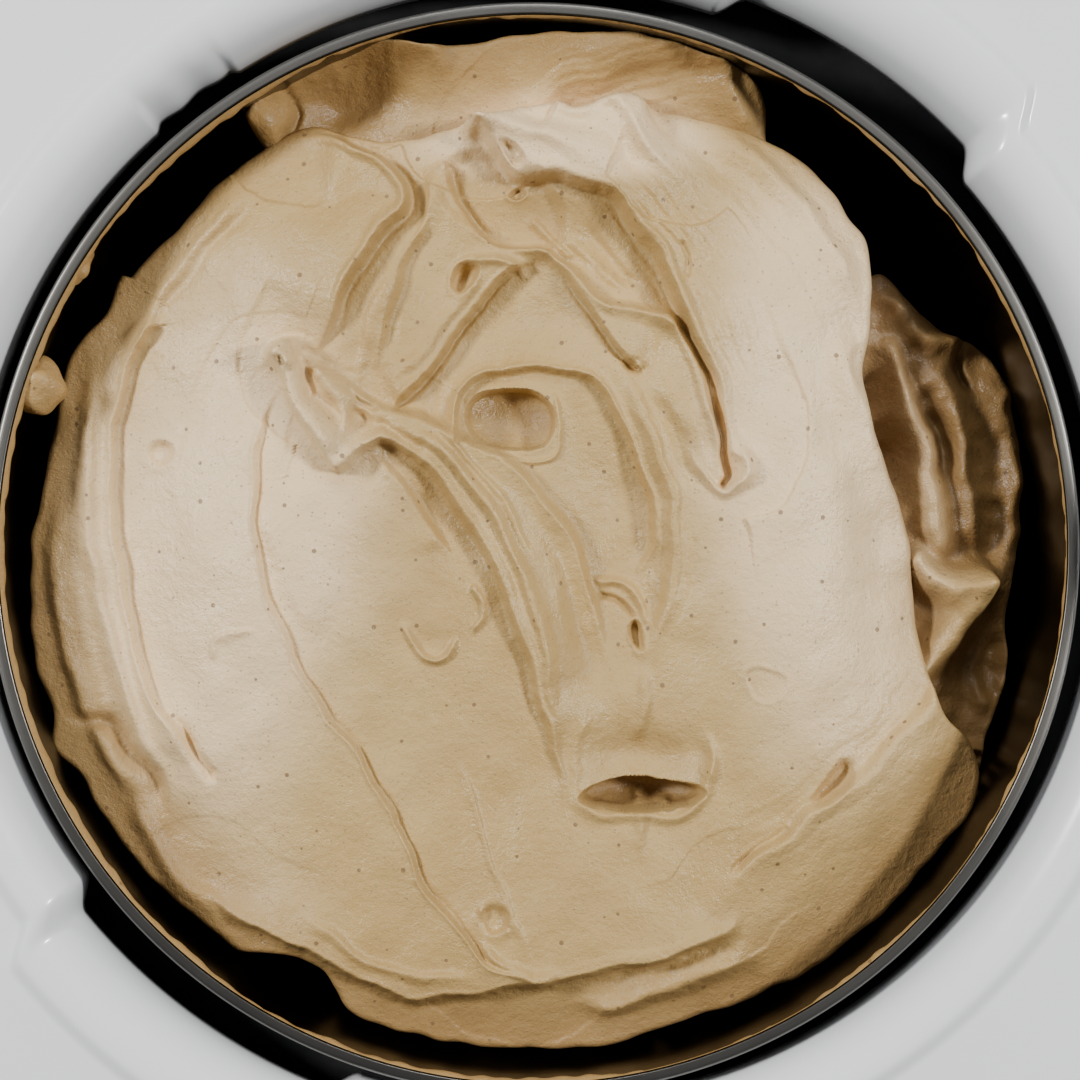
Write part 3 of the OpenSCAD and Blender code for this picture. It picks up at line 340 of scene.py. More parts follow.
def moulded_material(name, color, roughness, grain=0.00002, coat=0.0, tint=0.04):
    """Injection-moulded plastic: slow colour drift, satin changes in gloss and a fine spark-eroded grain."""
    made, shader, point = new_material(name, color, roughness, Coat_Weight=coat, Coat_Roughness=0.06)
    drift = noise(point, 18, 3)
    dark = rgb(*(c * (1 - tint) for c in color))
    connect(blend_colors(drift, rgb(*color), dark), shader, "Base Color")
    connect(band(noise(point, 160, 4), 0.3, 0.7, roughness * 0.85, min(1.0, roughness * 1.2)), shader,
            "Roughness")
    bumps(shader, noise(point, 900, 3) * 0.7 + noise(point, 60, 1) * 0.3, grain)
    return made


cover_white = moulded_material("white_cover_plastic", (0.90, 0.925, 0.955), 0.22, grain=0.000012, coat=0.35,
                               tint=0.02)
cover = cover_points()
cover_quads = grid_quads(*cover.shape[:2], close_rows=True, close_columns=True)[:, ::-1]
cover_piece = add_piece("cover_shell", cover, cover_quads, cover_white, "housing")
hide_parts("top_cover")


# ---------------------------------------------------------------- lift-out bowl
# Spun from stainless sheet: polished inside, satin rolled rim, a coved floor and the hollow post in the
# middle that the drive shaft comes up through.
bowl_wall_r = 84.5
bowl_rim_r = (bowl_high[0] - bowl_low[0]) / 2
bowl_depth = bowl_high[2] - bowl_low[2]
cove = 12.0
post_r = 9.53
post_rise = 53.2


def bowl_points(columns=720):
    """The bowl as a closed profile turned about its own axis."""
    corners = [(post_r - 1.4, -bowl_depth), (post_r - 1.4, post_rise - bowl_depth),
               (post_r, post_rise - bowl_depth), (post_r, 1.2 - bowl_depth),
               (bowl_wall_r, 1.2 - bowl_depth), (bowl_wall_r, -0.5), (bowl_wall_r + 0.35, 0),
               (bowl_rim_r, 0), (bowl_rim_r, -2.5), (bowl_wall_r + 1.2, -2.5),
               (bowl_wall_r + 1.2, -bowl_depth)]
    profile = rounded_profile(corners, [0.3, 0.3, 2, cove - 1.2, 0.3, 0.25, 0.7, 0.7, 0.2], steps=6)
    turn = np.arange(columns) * 2 * np.pi / columns
    r = profile[:, 0][:, None]
    x = bowl_x + r * np.cos(turn)
    y = bowl_y + r * np.sin(turn)
    return np.stack([x, y, rim_z + profile[:, 1][:, None] * np.ones(columns)], axis=-1)


def spun_steel_material():
    """Stainless steel with turning marks round the axis: satin on the rim, polished inside, where the darker
    colour is painted shade of the deep wall.
    """
    made, shader, point = new_material("spun_steel", (0.40, 0.37, 0.34), 0.2, Metallic=1.0)
    split = point.node("ShaderNodeVectorMath", {0: point, 1: (bowl_x * MM, bowl_y * MM, 0)},
                       operation="SUBTRACT")
    part = split.tree.nodes.new("ShaderNodeSeparateXYZ")
    split.tree.links.new(split.socket, part.inputs[0])
    x, y, z = (Value(split.tree, part.outputs[k]) for k in range(3))
    radius = (x * x + y * y) ** 0.5
    rim = band(radius, (bowl_wall_r + 0.1) * MM, (bowl_wall_r + 0.6) * MM)
    rings = radius.node("ShaderNodeCombineXYZ", {0: radius * 1.0, 1: z * 1.0, 2: 0.0})
    marks = noise(rings, 5200, 2)
    smudge = noise(point, 55, 4)
    # painted shade: the inside of the bowl darker than the rim
    connect(blend_colors(rim, rgb(0.085, 0.074, 0.060), rgb(0.17, 0.165, 0.155)), shader, "Base Color")
    connect(band(rim, 0, 1, 0.13, 0.30) + smudge * 0.12 + marks * 0.05, shader, "Roughness")
    bumps(shader, marks, 0.000016)
    return made


bowl = bowl_points()
bowl_quads = grid_quads(*bowl.shape[:2], close_rows=True, close_columns=True)[:, ::-1]
bowl_piece = add_piece("spun_bowl", bowl, bowl_quads, spun_steel_material(), "bowl")
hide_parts("freezer_bowl")


# ---------------------------------------------------------------- ice cream
# Soft coffee-coloured ice cream as the dasher and a spatula left it: a broad heap with folds that were
# dragged round and let go. Each stroke below is one thing the spatula did, drawn one by one.


def beside(x, y, path):
    """For each point: its distance from the path, the share of the path passed, and +1 on its left or -1.

    The share is a mean over the steps nearby, so that it doesn't jump on the inside of a bend.
    """
    nearby = 5  # square millimetres
    faint = 1e-12
    steps = np.diff(path, axis=0)
    lengths = np.hypot(steps[:, 0], steps[:, 1])
    starts = np.concatenate([[0], np.cumsum(lengths)[:-1]])
    nearest = np.full(x.shape, np.inf)
    share = np.zeros(x.shape)
    total = np.zeros(x.shape)
    side = np.ones(x.shape)
    for (ax, ay), (sx, sy), length, start in zip(path[:-1], steps, lengths, starts):
        t = np.clip(((x - ax) * sx + (y - ay) * sy) / length**2, 0, 1)
        gap = (x - ax - t * sx) ** 2 + (y - ay - t * sy) ** 2
        closer = gap < nearest
        nearest = np.where(closer, gap, nearest)
        weight = length * (np.exp(-gap / nearby) + faint / (1 + gap))
        share += weight * (start + t * length)
        total += weight
        side = np.where(closer, np.where(sx * (y - ay) - sy * (x - ax) >= 0, 1.0, -1.0), side)
    return np.sqrt(nearest), share / total / lengths.sum(), side


class Cream:
    """Heights z of the ice cream at the points x, y, changed stroke by stroke."""

    def __init__(self, x, y, gain=1.3):
        self.x = x + 0.4 * waves(x, y, 7, 1) + 0.05 * waves(x, y, 1.8, 2)
        self.y = y + 0.4 * waves(x, y, 7, 3) + 0.05 * waves(x, y, 1.8, 4)
        self.z = np.zeros_like(x)
        self.gain = gain

    def _near(self, path, reach):
        p = smooth_path(path)
        low = p.min(axis=0) - reach
        high = p.max(axis=0) + reach
        pick = np.flatnonzero((self.x > low[0]) & (self.x < high[0]) & (self.y > low[1]) & (self.y < high[1]))
        return (pick, *beside(self.x[pick], self.y[pick], p))

    @staticmethod
    def _fade(u, ends):
        return ease(u / max(ends[0], 1e-3)) * ease((1 - u) / max(ends[1], 1e-3))

    def ridge(self, path, height, left, right, ends=(0.2, 0.2)):
        """A soft ridge (or a groove, if height is negative) with its own width on each side."""
        pick, d, u, side = self._near(path, 2.6 * max(left, right))
        width = np.where(side > 0, left, right)
        self.z[pick] += self.gain * height * self._fade(u, ends) * np.exp(-((d / width) ** 2))

    def fold(self, path, height, edge, reach, side=1, ends=(0.15, 0.15), crease=0.22, lip=0.16):
        """An overlap: the surface stands height proud on one side of the path and sinks back over reach.

        In shares of height, crease is how deep the fold bites under its edge, lip how far the edge stands up.
        """
        pick, d, u, s = self._near(path, 2.4 * reach)
        q = side * s * d
        reach = reach * (0.25 + 0.75 * ease(u / 0.22) * ease((1 - u) / 0.22))
        rise = ease(q / (2 * edge) + 0.5) * np.exp(-((np.maximum(q, 0) / reach) ** 2))
        bite = np.exp(-(((q + 1.5 * edge) / (1.3 * edge + 0.15)) ** 2))
        brim = np.exp(-(((q - 1.8 * edge) / (1.1 * edge + 0.2)) ** 2))
        self.z[pick] += self.gain * height * self._fade(u, ends) * (rise - crease * bite + lip * brim)

    def strands(self, path, pitch, height, reach, ends=(0.25, 0.25), offset=0.0):
        """Fine parallel lines dragged along the path."""
        pick, d, u, s = self._near(path, 2.4 * reach)
        q = s * d + offset
        wander = 0.25 * waves(self.x[pick], self.y[pick], 12, 11)
        lines = np.cos(2 * np.pi * (q / pitch + wander)) + 0.5 * np.cos(2 * np.pi * (q / pitch * 2.3 + wander))
        self.z[pick] += height * self._fade(u, ends) * lines * np.exp(-((q / reach) ** 2))

    def _ellipse(self, centre, radii, turn):
        c, s = math.cos(math.radians(turn)), math.sin(math.radians(turn))
        dx, dy = self.x - centre[0], self.y - centre[1]
        return np.hypot((dx * c + dy * s) / radii[0], (dy * c - dx * s) / radii[1])

    def swell(self, centre, radii, height, turn=0):
        """A broad hump, or a hollow if height is negative."""
        self.z += self.gain * height * np.exp(-(self._ellipse(centre, radii, turn) ** 2))

    def hole(self, centre, radii, depth, turn=0, soft=0.2, lip=0.0):
        """A hole with a steep wall, a round floor and a raised lip."""
        q = self._ellipse(centre, radii, turn)
        self.z -= depth * ease((1 - q) / (2 * soft) + 0.5) * (1 - 0.25 * np.minimum(q, 1) ** 2)
        self.z += lip * np.exp(-(((q - 1 - soft) / (soft + 0.12)) ** 2))


def churned(x, y):
    """Height of the whole heap below the rim, at points about the shaft."""
    c = Cream(x, y)
    r = np.hypot(x, y)
    sunk = 1.5 + 4.0 * ease((x - 30) / 40) + 2.0 * ease((-y - 50) / 30)
    c.z += -7.0 - 0.0006 * r**2 - sunk * ease((r - 66) / 18)
    c.z += 0.5 * waves(x, y, 22, 5) + 0.14 * waves(x, y, 6, 6)

    # Broad masses and the hollows between them
    c.swell((-44, -6), (20, 34), 3.2, -12)
    c.swell((-40, 44), (17, 15), 3.0)
    c.swell((40, -2), (17, 34), 3.4, 8)
    c.swell((36, 46), (17, 13), 3.0, -35)
    c.swell((0, -56), (34, 14), 2.2)
    c.swell((8, 62), (20, 9), 2.8)
    c.swell((-8, 34), (12, 11), -3.0, 30)
    c.swell((12, -3), (8, 24), -2.6, 12)
    c.swell((17, 8), (6, 13), -2.0, 8)
    c.swell((-16, -52), (20, 14), -1.6, 20)
    c.swell((-66, 0), (9, 34), -2.0)
    c.swell((62, 8), (10, 26), -6.0)
    c.swell((-60, -46), (12, 10), -2.4, -30)

    # Left lobe laid over its neighbour, with a thin lip that wanders down to the knot
    lobe = [(-40, 67), (-33, 66), (-29, 64), (-25, 62), (-22, 58.5), (-21.5, 55), (-24, 51.5), (-27.5, 46),
            (-31, 39.5), (-34, 33), (-35.5, 28)]
    c.fold(lobe, 2.6, 0.5, 9, side=-1, ends=(0.2, 0.25))
    c.ridge(lobe, 0.7, 0.8, 1.1, ends=(0.25, 0.5))
    c.ridge([(-20.5, 48), (-18, 52), (-17, 56), (-18, 60)], 0.8, 0.6, 1.6)
    c.fold([(-25, 30), (-24, 38), (-21, 46), (-17.5, 53)], 1.0, 0.7, 4, side=1)
    c.ridge([(-29, 27), (-27, 36), (-23.5, 44)], 0.5, 0.8, 1.2)

    # The wave at the rear: a crest with a pointed tip that curls over the torn hollow and runs down to the hook
    wave = [(-10.5, 67.5), (-8, 65.5), (-6.2, 62.5), (-3.5, 59.5), (0, 58.5), (4, 58.3), (9.5, 57), (13, 54.5),
            (17.5, 48.5), (21.5, 41.5), (24.2, 35.5), (27.5, 28.5), (29.8, 22), (31, 16), (33.4, 13.5),
            (33.2, 10.5), (30.5, 9)]
    c.fold(wave[:-3], 3.6, 0.6, 11, side=1, ends=(0.02, 0.35), crease=0.15)
    c.ridge(wave[7:], 1.0, 1.2, 0.7, ends=(0.3, 0.05))
    c.ridge([(28.5, 23), (29.6, 18), (30.4, 13.5), (31.2, 11), (30.4, 9.6)], -2.6, 0.8, 0.7, ends=(0.3, 0.03))
    c.ridge([(31.5, 18), (33.4, 13.5), (33.2, 10.4), (31, 8.3), (28.4, 9), (25.5, 12), (22, 17)], 0.9, 0.8, 0.7,
            ends=(0.2, 0.3))
    c.fold([(-10.5, 68.2), (-6, 69.5), (-2, 71), (3, 71.5), (7, 70.5), (10.5, 72.5), (14.5, 73), (17, 71.5),
           (19, 68), (23, 63)], 3.4, 0.7, 9, side=-1, ends=(0.02, 0.25))
    c.ridge([(-10, 67.8), (-5, 67), (0, 65), (5, 63), (9, 62)], 1.5, 2.2, 1.6, ends=(0.05, 0.5))
    c.ridge([(11, 72), (14, 69.5), (16, 66), (19, 62), (24, 56)], 1.6, 2.0, 1.4, ends=(0.1, 0.5))
    c.ridge([(3, 68), (8, 67), (12, 64), (17, 58)], -1.0, 2.0, 2.0)
    c.strands([(8, 58), (16, 52), (23, 42), (28, 30), (31, 18)], 2.6, 0.12, 6, offset=-2)

    # The torn hollow under the wave, and the sheet that was pulled out of it
    c.hole((-6, 55.5), (10.5, 6.2), 2.6, -28, soft=0.16)
    c.fold([(-15, 60.5), (-13.6, 56.5), (-11.6, 53.5), (-9.8, 50.8), (-7, 48.4), (-3, 48), (0.5, 48.2)],
           1.7, 0.35, 5, side=-1, ends=(0.05, 0.1))
    torn = [(-3, 48.2), (0.5, 48.2), (4, 45.2), (7, 42.5), (10.5, 39.2), (15.5, 37.2), (20.8, 36.6), (23.5, 34),
            (26, 28.5), (27.6, 23), (29.3, 17), (30, 11.5)]
    c.fold(torn, 1.3, 0.6, 6, side=-1, ends=(0.08, 0.2), crease=0.1)
    c.ridge(torn, 1.3, 0.9, 1.1, ends=(0.1, 0.1))
    c.ridge([(12, 50), (17, 44), (21, 38.5), (24.5, 33), (28, 24), (30, 16)], -0.8, 1.3, 1.2, ends=(0.4, 0.15))
    c.ridge([(8, 51), (12, 46), (16, 41.5)], -0.8, 0.9, 1.4)
    c.ridge([(5, 50), (9, 45.5), (13, 42)], 0.6, 0.8, 0.8)
    c.ridge([(-1, 52), (2, 50), (5, 47)], 0.8, 0.6, 0.8)
    c.ridge([(21, 36.8), (21.2, 36)], 1.2, 1.6, 1.6)

    # The smooth flat that a spatula pressed in, between two creases
    c.fold([(-2, 45), (-6.5, 42.5), (-11, 37), (-16, 30.5), (-20, 25), (-22.5, 22)], 2.2, 0.3, 7, side=-1,
           ends=(0.12, 0.1))
    c.ridge([(-8, 44), (-13, 38), (-18, 31.5), (-23, 25.5)], 0.7, 0.9, 1.2)
    c.fold([(3.5, 45), (6, 41), (9.5, 36.5), (13, 31.5), (15.5, 28.8)], 1.6, 0.35, 5, side=1, ends=(0.25, 0.05),
           crease=0.3)
    c.hole((15.6, 28.8), (1.6, 1.2), 1.0, -40, soft=0.4)
    c.ridge([(-11.5, 45), (-7, 45.6), (-3.5, 44.8), (-1.8, 43.2)], 1.1, 0.9, 0.7, ends=(0.3, 0.3))
    c.hole((-12, 42.8), (1.5, 2.6), 2.2, -32, soft=0.25, lip=0.6)
    c.hole((-3.3, 57.2), (1.1, 1.0), 1.2, 0, soft=0.3, lip=0.3)
    c.hole((-4.2, 62.4), (1.0, 2.0), 2.4, 40, soft=0.3)
    c.ridge([(22.8, 47.5), (24, 45.8), (24.3, 44)], -0.7, 0.5, 0.7)

    # The hole in the middle with its thin rim, and the ribbon that sweeps round it
    c.hole((-4.3, 20.2), (6.8, 5.1), 6.5, -6, soft=0.06, lip=0.3)
    loop = [(-13.2, 17.5), (-13.2, 21), (-12, 25), (-8.5, 27.8), (-2, 28.6), (4, 28.4), (8, 27.2), (11, 24),
            (14.2, 18.5), (16.7, 12.5), (18.2, 8), (19, 3), (18.3, -1.5), (16.5, -4.5)]
    c.fold(loop, 1.3, 0.5, 5.5, side=1, ends=(0.04, 0.1), crease=0.1)
    c.ridge(loop, 1.1, 0.6, 0.6, ends=(0.03, 0.1))
    c.ridge([(-7.5, 14.5), (-2, 12.8), (2.6, 14.5), (3.6, 19), (2.5, 24)], 0.5, 0.4, 0.4, ends=(0.1, 0.1))
    c.ridge([(9, 28.5), (14, 27), (17.5, 20), (20.5, 12.5), (21.8, 4), (21.8, -4), (20.8, -10.5), (18.5, -17),
            (16.5, -23)], 1.4, 1.5, 1.7, ends=(0.2, 0.3))
    c.strands([(13, 25), (18, 17), (21, 7), (21.5, -4), (19.5, -14)], 2.2, 0.12, 4)
    c.ridge([(18, 27), (22, 22), (25, 15), (29, 10)], 1.0, 2.2, 1.5)
    c.hole((16, -14.8), (0.9, 2.3), 1.8, 12, soft=0.3, lip=0.4)
    c.ridge([(10.8, -8.4), (13, -9.6), (14.8, -11.2)], -0.9, 0.35, 0.5)
    c.ridge([(10.5, -6), (13.5, -6.6), (15.8, -8.6), (17.2, -12)], 0.9, 0.8, 0.8)

    # The big S: a twisted knot that was lifted off, and the ribbon that trails from it to the pocket
    s_low = [(-41, 27), (-38, 23.5), (-36, 18.5), (-33.5, 14.2), (-31, 12.4), (-28.2, 15.3), (-24.5, 16.2),
             (-19.5, 13.8), (-15, 9), (-10.5, 2), (-6, -6.2), (-2.5, -15), (0, -23.5), (2.4, -30.5), (3.8, -38),
             (4.4, -44)]
    s_high = [(-39, 31.2), (-35, 28.5), (-29.5, 24.5), (-23.5, 21.5), (-19, 20.3), (-14, 18), (-8, 15.2),
              (-3.5, 11.8), (2.5, 5.2), (7, -2.5), (9.5, -10.5), (11.7, -19), (14, -24.8)]
    s_middle = [(-23.5, 19.3), (-17.5, 16.6), (-12, 11.2), (-7, 5.2), (-3.5, -1.5), (-0.6, -8.5), (1, -16),
                (2.4, -24), (3.4, -33)]
    knot = [(-37.5, 33), (-41.5, 32.6), (-43.4, 29.5), (-41.6, 26), (-38.9, 22), (-36.7, 17.8), (-34.7, 14),
            (-32.6, 11.9), (-30.6, 13), (-28.4, 15.4), (-24.5, 16.2)]
    c.fold(knot, 2.6, 0.6, 6, side=1, ends=(0.08, 0.15), crease=0.1)
    c.fold(s_low[5:], 2.6, 0.7, 8, side=1, ends=(0.06, 0.5), crease=0.05)
    c.fold(s_high, 1.9, 0.8, 5, side=-1, ends=(0.05, 0.5), crease=0.1)
    c.ridge(s_low[6:], 1.0, 0.6, 0.8, ends=(0.1, 0.15))
    c.ridge(s_middle, 1.5, 1.2, 1.0, ends=(0.15, 0.3))
    c.ridge([(x + 2.3, y + 1.1) for x, y in s_middle[:6]], 0.6, 0.5, 0.6, ends=(0.2, 0.4))
    c.ridge([(x + 5.2, y + 2.2) for x, y in s_middle[2:8]], -1.0, 2.0, 1.8, ends=(0.3, 0.3))
    c.ridge(s_high[2:], 0.7, 0.7, 0.9, ends=(0.15, 0.25))
    c.strands(s_middle, 1.3, 0.05, 2.6, ends=(0.15, 0.3), offset=0.5)
    # Twisted knot: a round tip with a pinhole, a neck and two wet hollows
    c.hole((-40.8, 29.9), (2.3, 2.4), -2.0, 0, soft=0.3)
    c.hole((-41.4, 28.2), (0.5, 1.0), 1.2, 20, soft=0.4)
    c.ridge([(-42, 31), (-40, 27.5), (-37, 23), (-34.5, 18.5), (-32.6, 14.5)], 2.6, 2.8, 3.0, ends=(0.1, 0.15))
    c.ridge([(-38.2, 29.6), (-36.6, 27), (-35.2, 23)], -1.5, 0.9, 0.8, ends=(0.1, 0.3))
    c.ridge([(-34.6, 27.6), (-32.4, 23.5), (-30.8, 18.6)], 1.1, 0.9, 0.9, ends=(0.15, 0.2))
    c.swell((-32.9, 21.2), (1.2, 2.4), -1.3, 25)
    c.swell((-28.6, 20.4), (1.8, 1.3), -1.2, -25)
    c.ridge([(-31, 24.8), (-29, 22.8), (-26.4, 22)], -1.0, 0.5, 0.6)
    c.ridge([(-25, 19.2), (-22, 17.4), (-19, 15.4)], -0.8, 0.9, 0.9)
    # Hollow on the S's near side
    c.swell((-15, 4.5), (4.2, 9), -1.7, 38)
    c.fold([(-25, 13.5), (-21, 9), (-17.5, 4), (-14.5, -0.5)], 0.9, 0.5, 4, side=-1)
    c.swell((8.5, -19), (3.2, 6.5), -1.2, 14)

    # Thin edge of the sheet that the spatula wiped across the left half
    wiped = [(-42, 25), (-44, 20), (-45.2, 14), (-45.3, 5.5), (-44, -4.5), (-40.5, -15.5), (-35, -26),
             (-28.5, -35), (-24.5, -42), (-21, -49), (-17.5, -56), (-13.5, -62), (-9.5, -66), (-5, -69),
             (-1, -70)]
    c.fold(wiped, 0.8, 0.3, 12, side=-1, ends=(0.1, 0.05), crease=0.5, lip=0.1)
    c.ridge(wiped, 0.5, 0.35, 0.45, ends=(0.1, 0.1))
    c.fold([(-44.5, 12), (-43, 2), (-40, -8), (-36, -16)], 0.5, 1.2, 6, side=1)
    c.ridge([(-13, -34), (-10.5, -42), (-8, -50), (-4, -60), (-1.5, -68)], 0.4, 0.5, 0.9)
    c.ridge([(-21.5, -13), (-18.8, -17.3), (-16.5, -18.8), (-14.2, -17.8), (-13.4, -15.5)], 0.9, 0.5, 0.6)
    c.swell((-18, -15.5), (2.6, 2.2), -0.5)
    c.ridge([(-10.5, -7), (-9, -10), (-9, -12.4), (-10.2, -13.8)], 0.8, 0.7, 0.5)

    # The pocket: a scoop that slopes down towards the front and ends under a lip, with a drip
    c.swell((16.5, -34.5), (8.5, 5.5), -3.0)
    c.hole((16.6, -40.6), (9.6, 2.3), 9.0, 2, soft=0.1)
    pocket = [(5.0, -38.5), (7.2, -41.6), (10, -43.8), (14, -43.6), (17.2, -43.5), (20, -44.2), (23.8, -43.2),
              (27, -39.5), (28.2, -35.5), (27.4, -31)]
    c.ridge(pocket, 1.0, 0.7, 1.2, ends=(0.12, 0.2))
    c.swell((20.3, -42.2), (1.2, 0.8), 2.0)
    c.ridge([(16.3, -41), (16.6, -46), (17, -50.5)], 0.9, 0.9, 0.9, ends=(0.1, 0.6))
    c.ridge([(25.8, -28), (27.6, -33), (27.6, -37)], 0.6, 0.9, 1.4, ends=(0.6, 0.1))
    c.ridge([(7, -29), (5.8, -34), (5.8, -38)], 0.4, 0.8, 1.4)
    c.ridge([(17, -21), (17.5, -26), (16.5, -31)], 0.8, 1.0, 1.2)

    # Left side: the long line where two passes meet, and its neighbours near the wall
    line = [(-61, 34.6), (-63.5, 33.6), (-67, 27.5), (-69, 15.5), (-68.4, 1), (-65.5, -15), (-61.5, -25),
            (-57, -32.5), (-53, -37)]
    c.fold(line, 1.3, 0.5, 7, side=-1, ends=(0.04, 0.1), crease=0.15)
    c.ridge(line, 0.7, 0.5, 0.7, ends=(0.05, 0.15))
    c.ridge([(-58.5, -29), (-56, -33.4), (-52.8, -37)], -1.4, 0.8, 1.0, ends=(0.4, 0.1))
    c.ridge([(-66, 30), (-60, 41), (-53, 50), (-46, 58)], 1.0, 1.6, 1.2)
    c.ridge([(-62.5, 36), (-55, 46), (-47, 55)], -0.6, 1.2, 1.2)
    c.ridge([(-72, 33), (-73, 20), (-73.5, 7), (-71, -9), (-67, -24), (-61.5, -37), (-58.5, -46)],
            1.3, 1.3, 1.7)
    c.ridge([(-78, 8), (-78.5, -6), (-75, -22), (-70, -34), (-63, -44)], 1.0, 1.8, 1.4)
    c.ridge([(-75.5, -28), (-70, -30), (-64, -37), (-61, -44)], -1.6, 1.6, 1.4)
    c.ridge([(-66, -41), (-63, -49), (-57, -56), (-50, -61)], 1.2, 1.6, 2.0)
    c.ridge([(-52.5, -17.2), (-51, -15), (-46.3, -14)], 0.45, 0.4, 0.8)
    c.hole((-61.4, 14.8), (2.1, 2.0), 1.1, 0, soft=0.35, lip=0.25)

    # Front edge: small waves pushed up against each other
    front = [(-55, -57), (-46, -62.5), (-38, -65.2), (-33.5, -68.6), (-22.5, -73.6), (-11, -73), (-3, -71.4),
             (4, -70.4), (16.5, -68.4), (26.5, -65), (32, -62.4), (32.6, -58.6)]
    c.fold(front, 1.9, 0.8, 8, side=1, ends=(0.1, 0.12), crease=0.1)
    c.ridge(front, 0.8, 0.9, 1.0, ends=(0.1, 0.1))
    c.ridge([(-38, -60), (-29, -66.5), (-19, -70), (-9, -69.5)], 0.8, 0.8, 1.3)
    c.ridge([(-8.5, -64.5), (-5.5, -67.8), (-1, -70), (3, -69)], 1.0, 0.7, 0.9)
    c.hole((-6.8, -60.8), (2.2, 2.1), 0.9, 0, soft=0.35, lip=0.3)
    c.ridge([(-9, -59.2), (-7.6, -62.6), (-5, -62.4)], 0.5, 0.4, 0.6)
    c.ridge([(6, -76), (16, -74), (26, -70.5), (36, -66)], 1.4, 1.8, 1.4)
    c.ridge([(10, -71), (22, -68), (31, -64)], -0.8, 1.2, 1.2)

    # Right side: the diagonal drag lines and the fold towards the peak
    drag = [(28, -56), (34, -50.5), (41, -45), (48, -39.8), (54, -34.8), (60, -29), (64.5, -23), (67, -15.5)]
    c.fold(drag, 1.5, 0.9, 9, side=-1, ends=(0.25, 0.1), crease=0.1)
    c.strands(drag, 3.6, 0.07, 7, offset=-2)
    c.ridge([(31, -52.6), (36, -48.6), (40, -45.4)], -0.8, 0.4, 0.7)
    c.hole((47.6, -39), (1.5, 4.2), 2.2, -38, soft=0.3, lip=0.3)
    c.hole((36.7, -22.4), (2.6, 2.3), 0.35, 0, soft=0.12, lip=0.12)
    c.ridge([(54.5, 35), (50.6, 31.5), (51, 27), (53.6, 18.5), (56.5, 10.5), (59.4, 4), (60, -3.5), (63, -7.5)],
            1.6, 1.0, 3.2)
    c.ridge([(26, 68), (33, 64.5), (42, 56), (48.5, 46.5), (52, 37)], 1.3, 1.4, 3.4)
    c.ridge([(20, 66), (28, 62), (37, 54), (43, 45)], -0.7, 2.4, 2.0)
    c.strands([(24, 64), (36, 56), (45, 44), (50, 32)], 4.6, 0.08, 8)
    return c.z


def blob_surface(outline, centre, across, height_of, lip, floor, ease_under=2.0):
    """A closed lump: its top follows height_of inside a smooth closed outline, and its sides run down to floor.

    A square grid is laid over the outline so that its squares stay about equal: the ring number of a square is
    its distance from the middle, max(|a|, |b|), and its direction is shared out evenly round the ring.
    """
    curve = smooth_path(outline, 10, closed=True) - np.array(centre)
    turn = np.unwrap(np.arctan2(curve[:, 1], curve[:, 0]))
    if turn[-1] < turn[0]:
        turn, curve = turn[::-1], curve[::-1]
    order = np.argsort(turn)
    reach = np.hypot(curve[:, 0], curve[:, 1])[order]
    turn = turn[order]
    side_rows = 14
    middle = across // 2
    half = middle + side_rows
    drawn_in = 26  # how far the bottom row goes in towards the middle
    a, b = np.meshgrid(np.arange(-half, half + 1), np.arange(-half, half + 1))
    ring = np.maximum(np.abs(a), np.abs(b))
    safe = np.maximum(ring, 1)
    flat = np.abs(a) >= np.abs(b)
    spread = np.where(flat, b, a) / safe
    angle_aside = np.where(a >= 0, 0, np.pi) + np.pi / 4 * spread * np.where(a >= 0, 1, -1)
    angle_up = np.where(b >= 0, np.pi / 2, -np.pi / 2) - np.pi / 4 * spread * np.where(b >= 0, 1, -1)
    angle = np.where(flat, angle_aside, angle_up)
    start = turn[0]
    wrapped = (angle - start) % (2 * np.pi) + start
    edge = np.interp(wrapped, np.append(turn, start + 2 * np.pi), np.append(reach, reach[0]))
    edge = edge + 0.25 * waves(edge * np.cos(angle) + centre[0], edge * np.sin(angle) + centre[1], 5, 21)
    inner = np.minimum(ring / middle, 1.0)
    down = np.maximum(ring - middle, 0) / side_rows
    distance = inner * edge
    x = centre[0] + distance * np.cos(angle)
    y = centre[1] + distance * np.sin(angle)
    z = height_of(x.ravel(), y.ravel()).reshape(x.shape)
    near = np.clip(1 - (1 - inner) * edge / lip, 0, 1)
    z = z - lip * (1 - np.sqrt(1 - near**2 * 0.999))
    under = np.sin(np.pi * np.minimum(down * 1.4, 1)) * ease_under * (0.6 + 0.4 * waves(x, y, 9, 22))
    bulge = 1.2 * np.sin(np.pi * down) * waves(x, y, 6, 23)
    back = under + bulge + drawn_in * ease((down - 0.86) / 0.14)
    x = x - back * np.cos(angle)
    y = y - back * np.sin(angle)
    z = z + (floor - z) * np.minimum(down / 0.93, 1) ** 1.3
    return np.stack([x + axis_x, y + axis_y, z + rim_z], axis=-1)


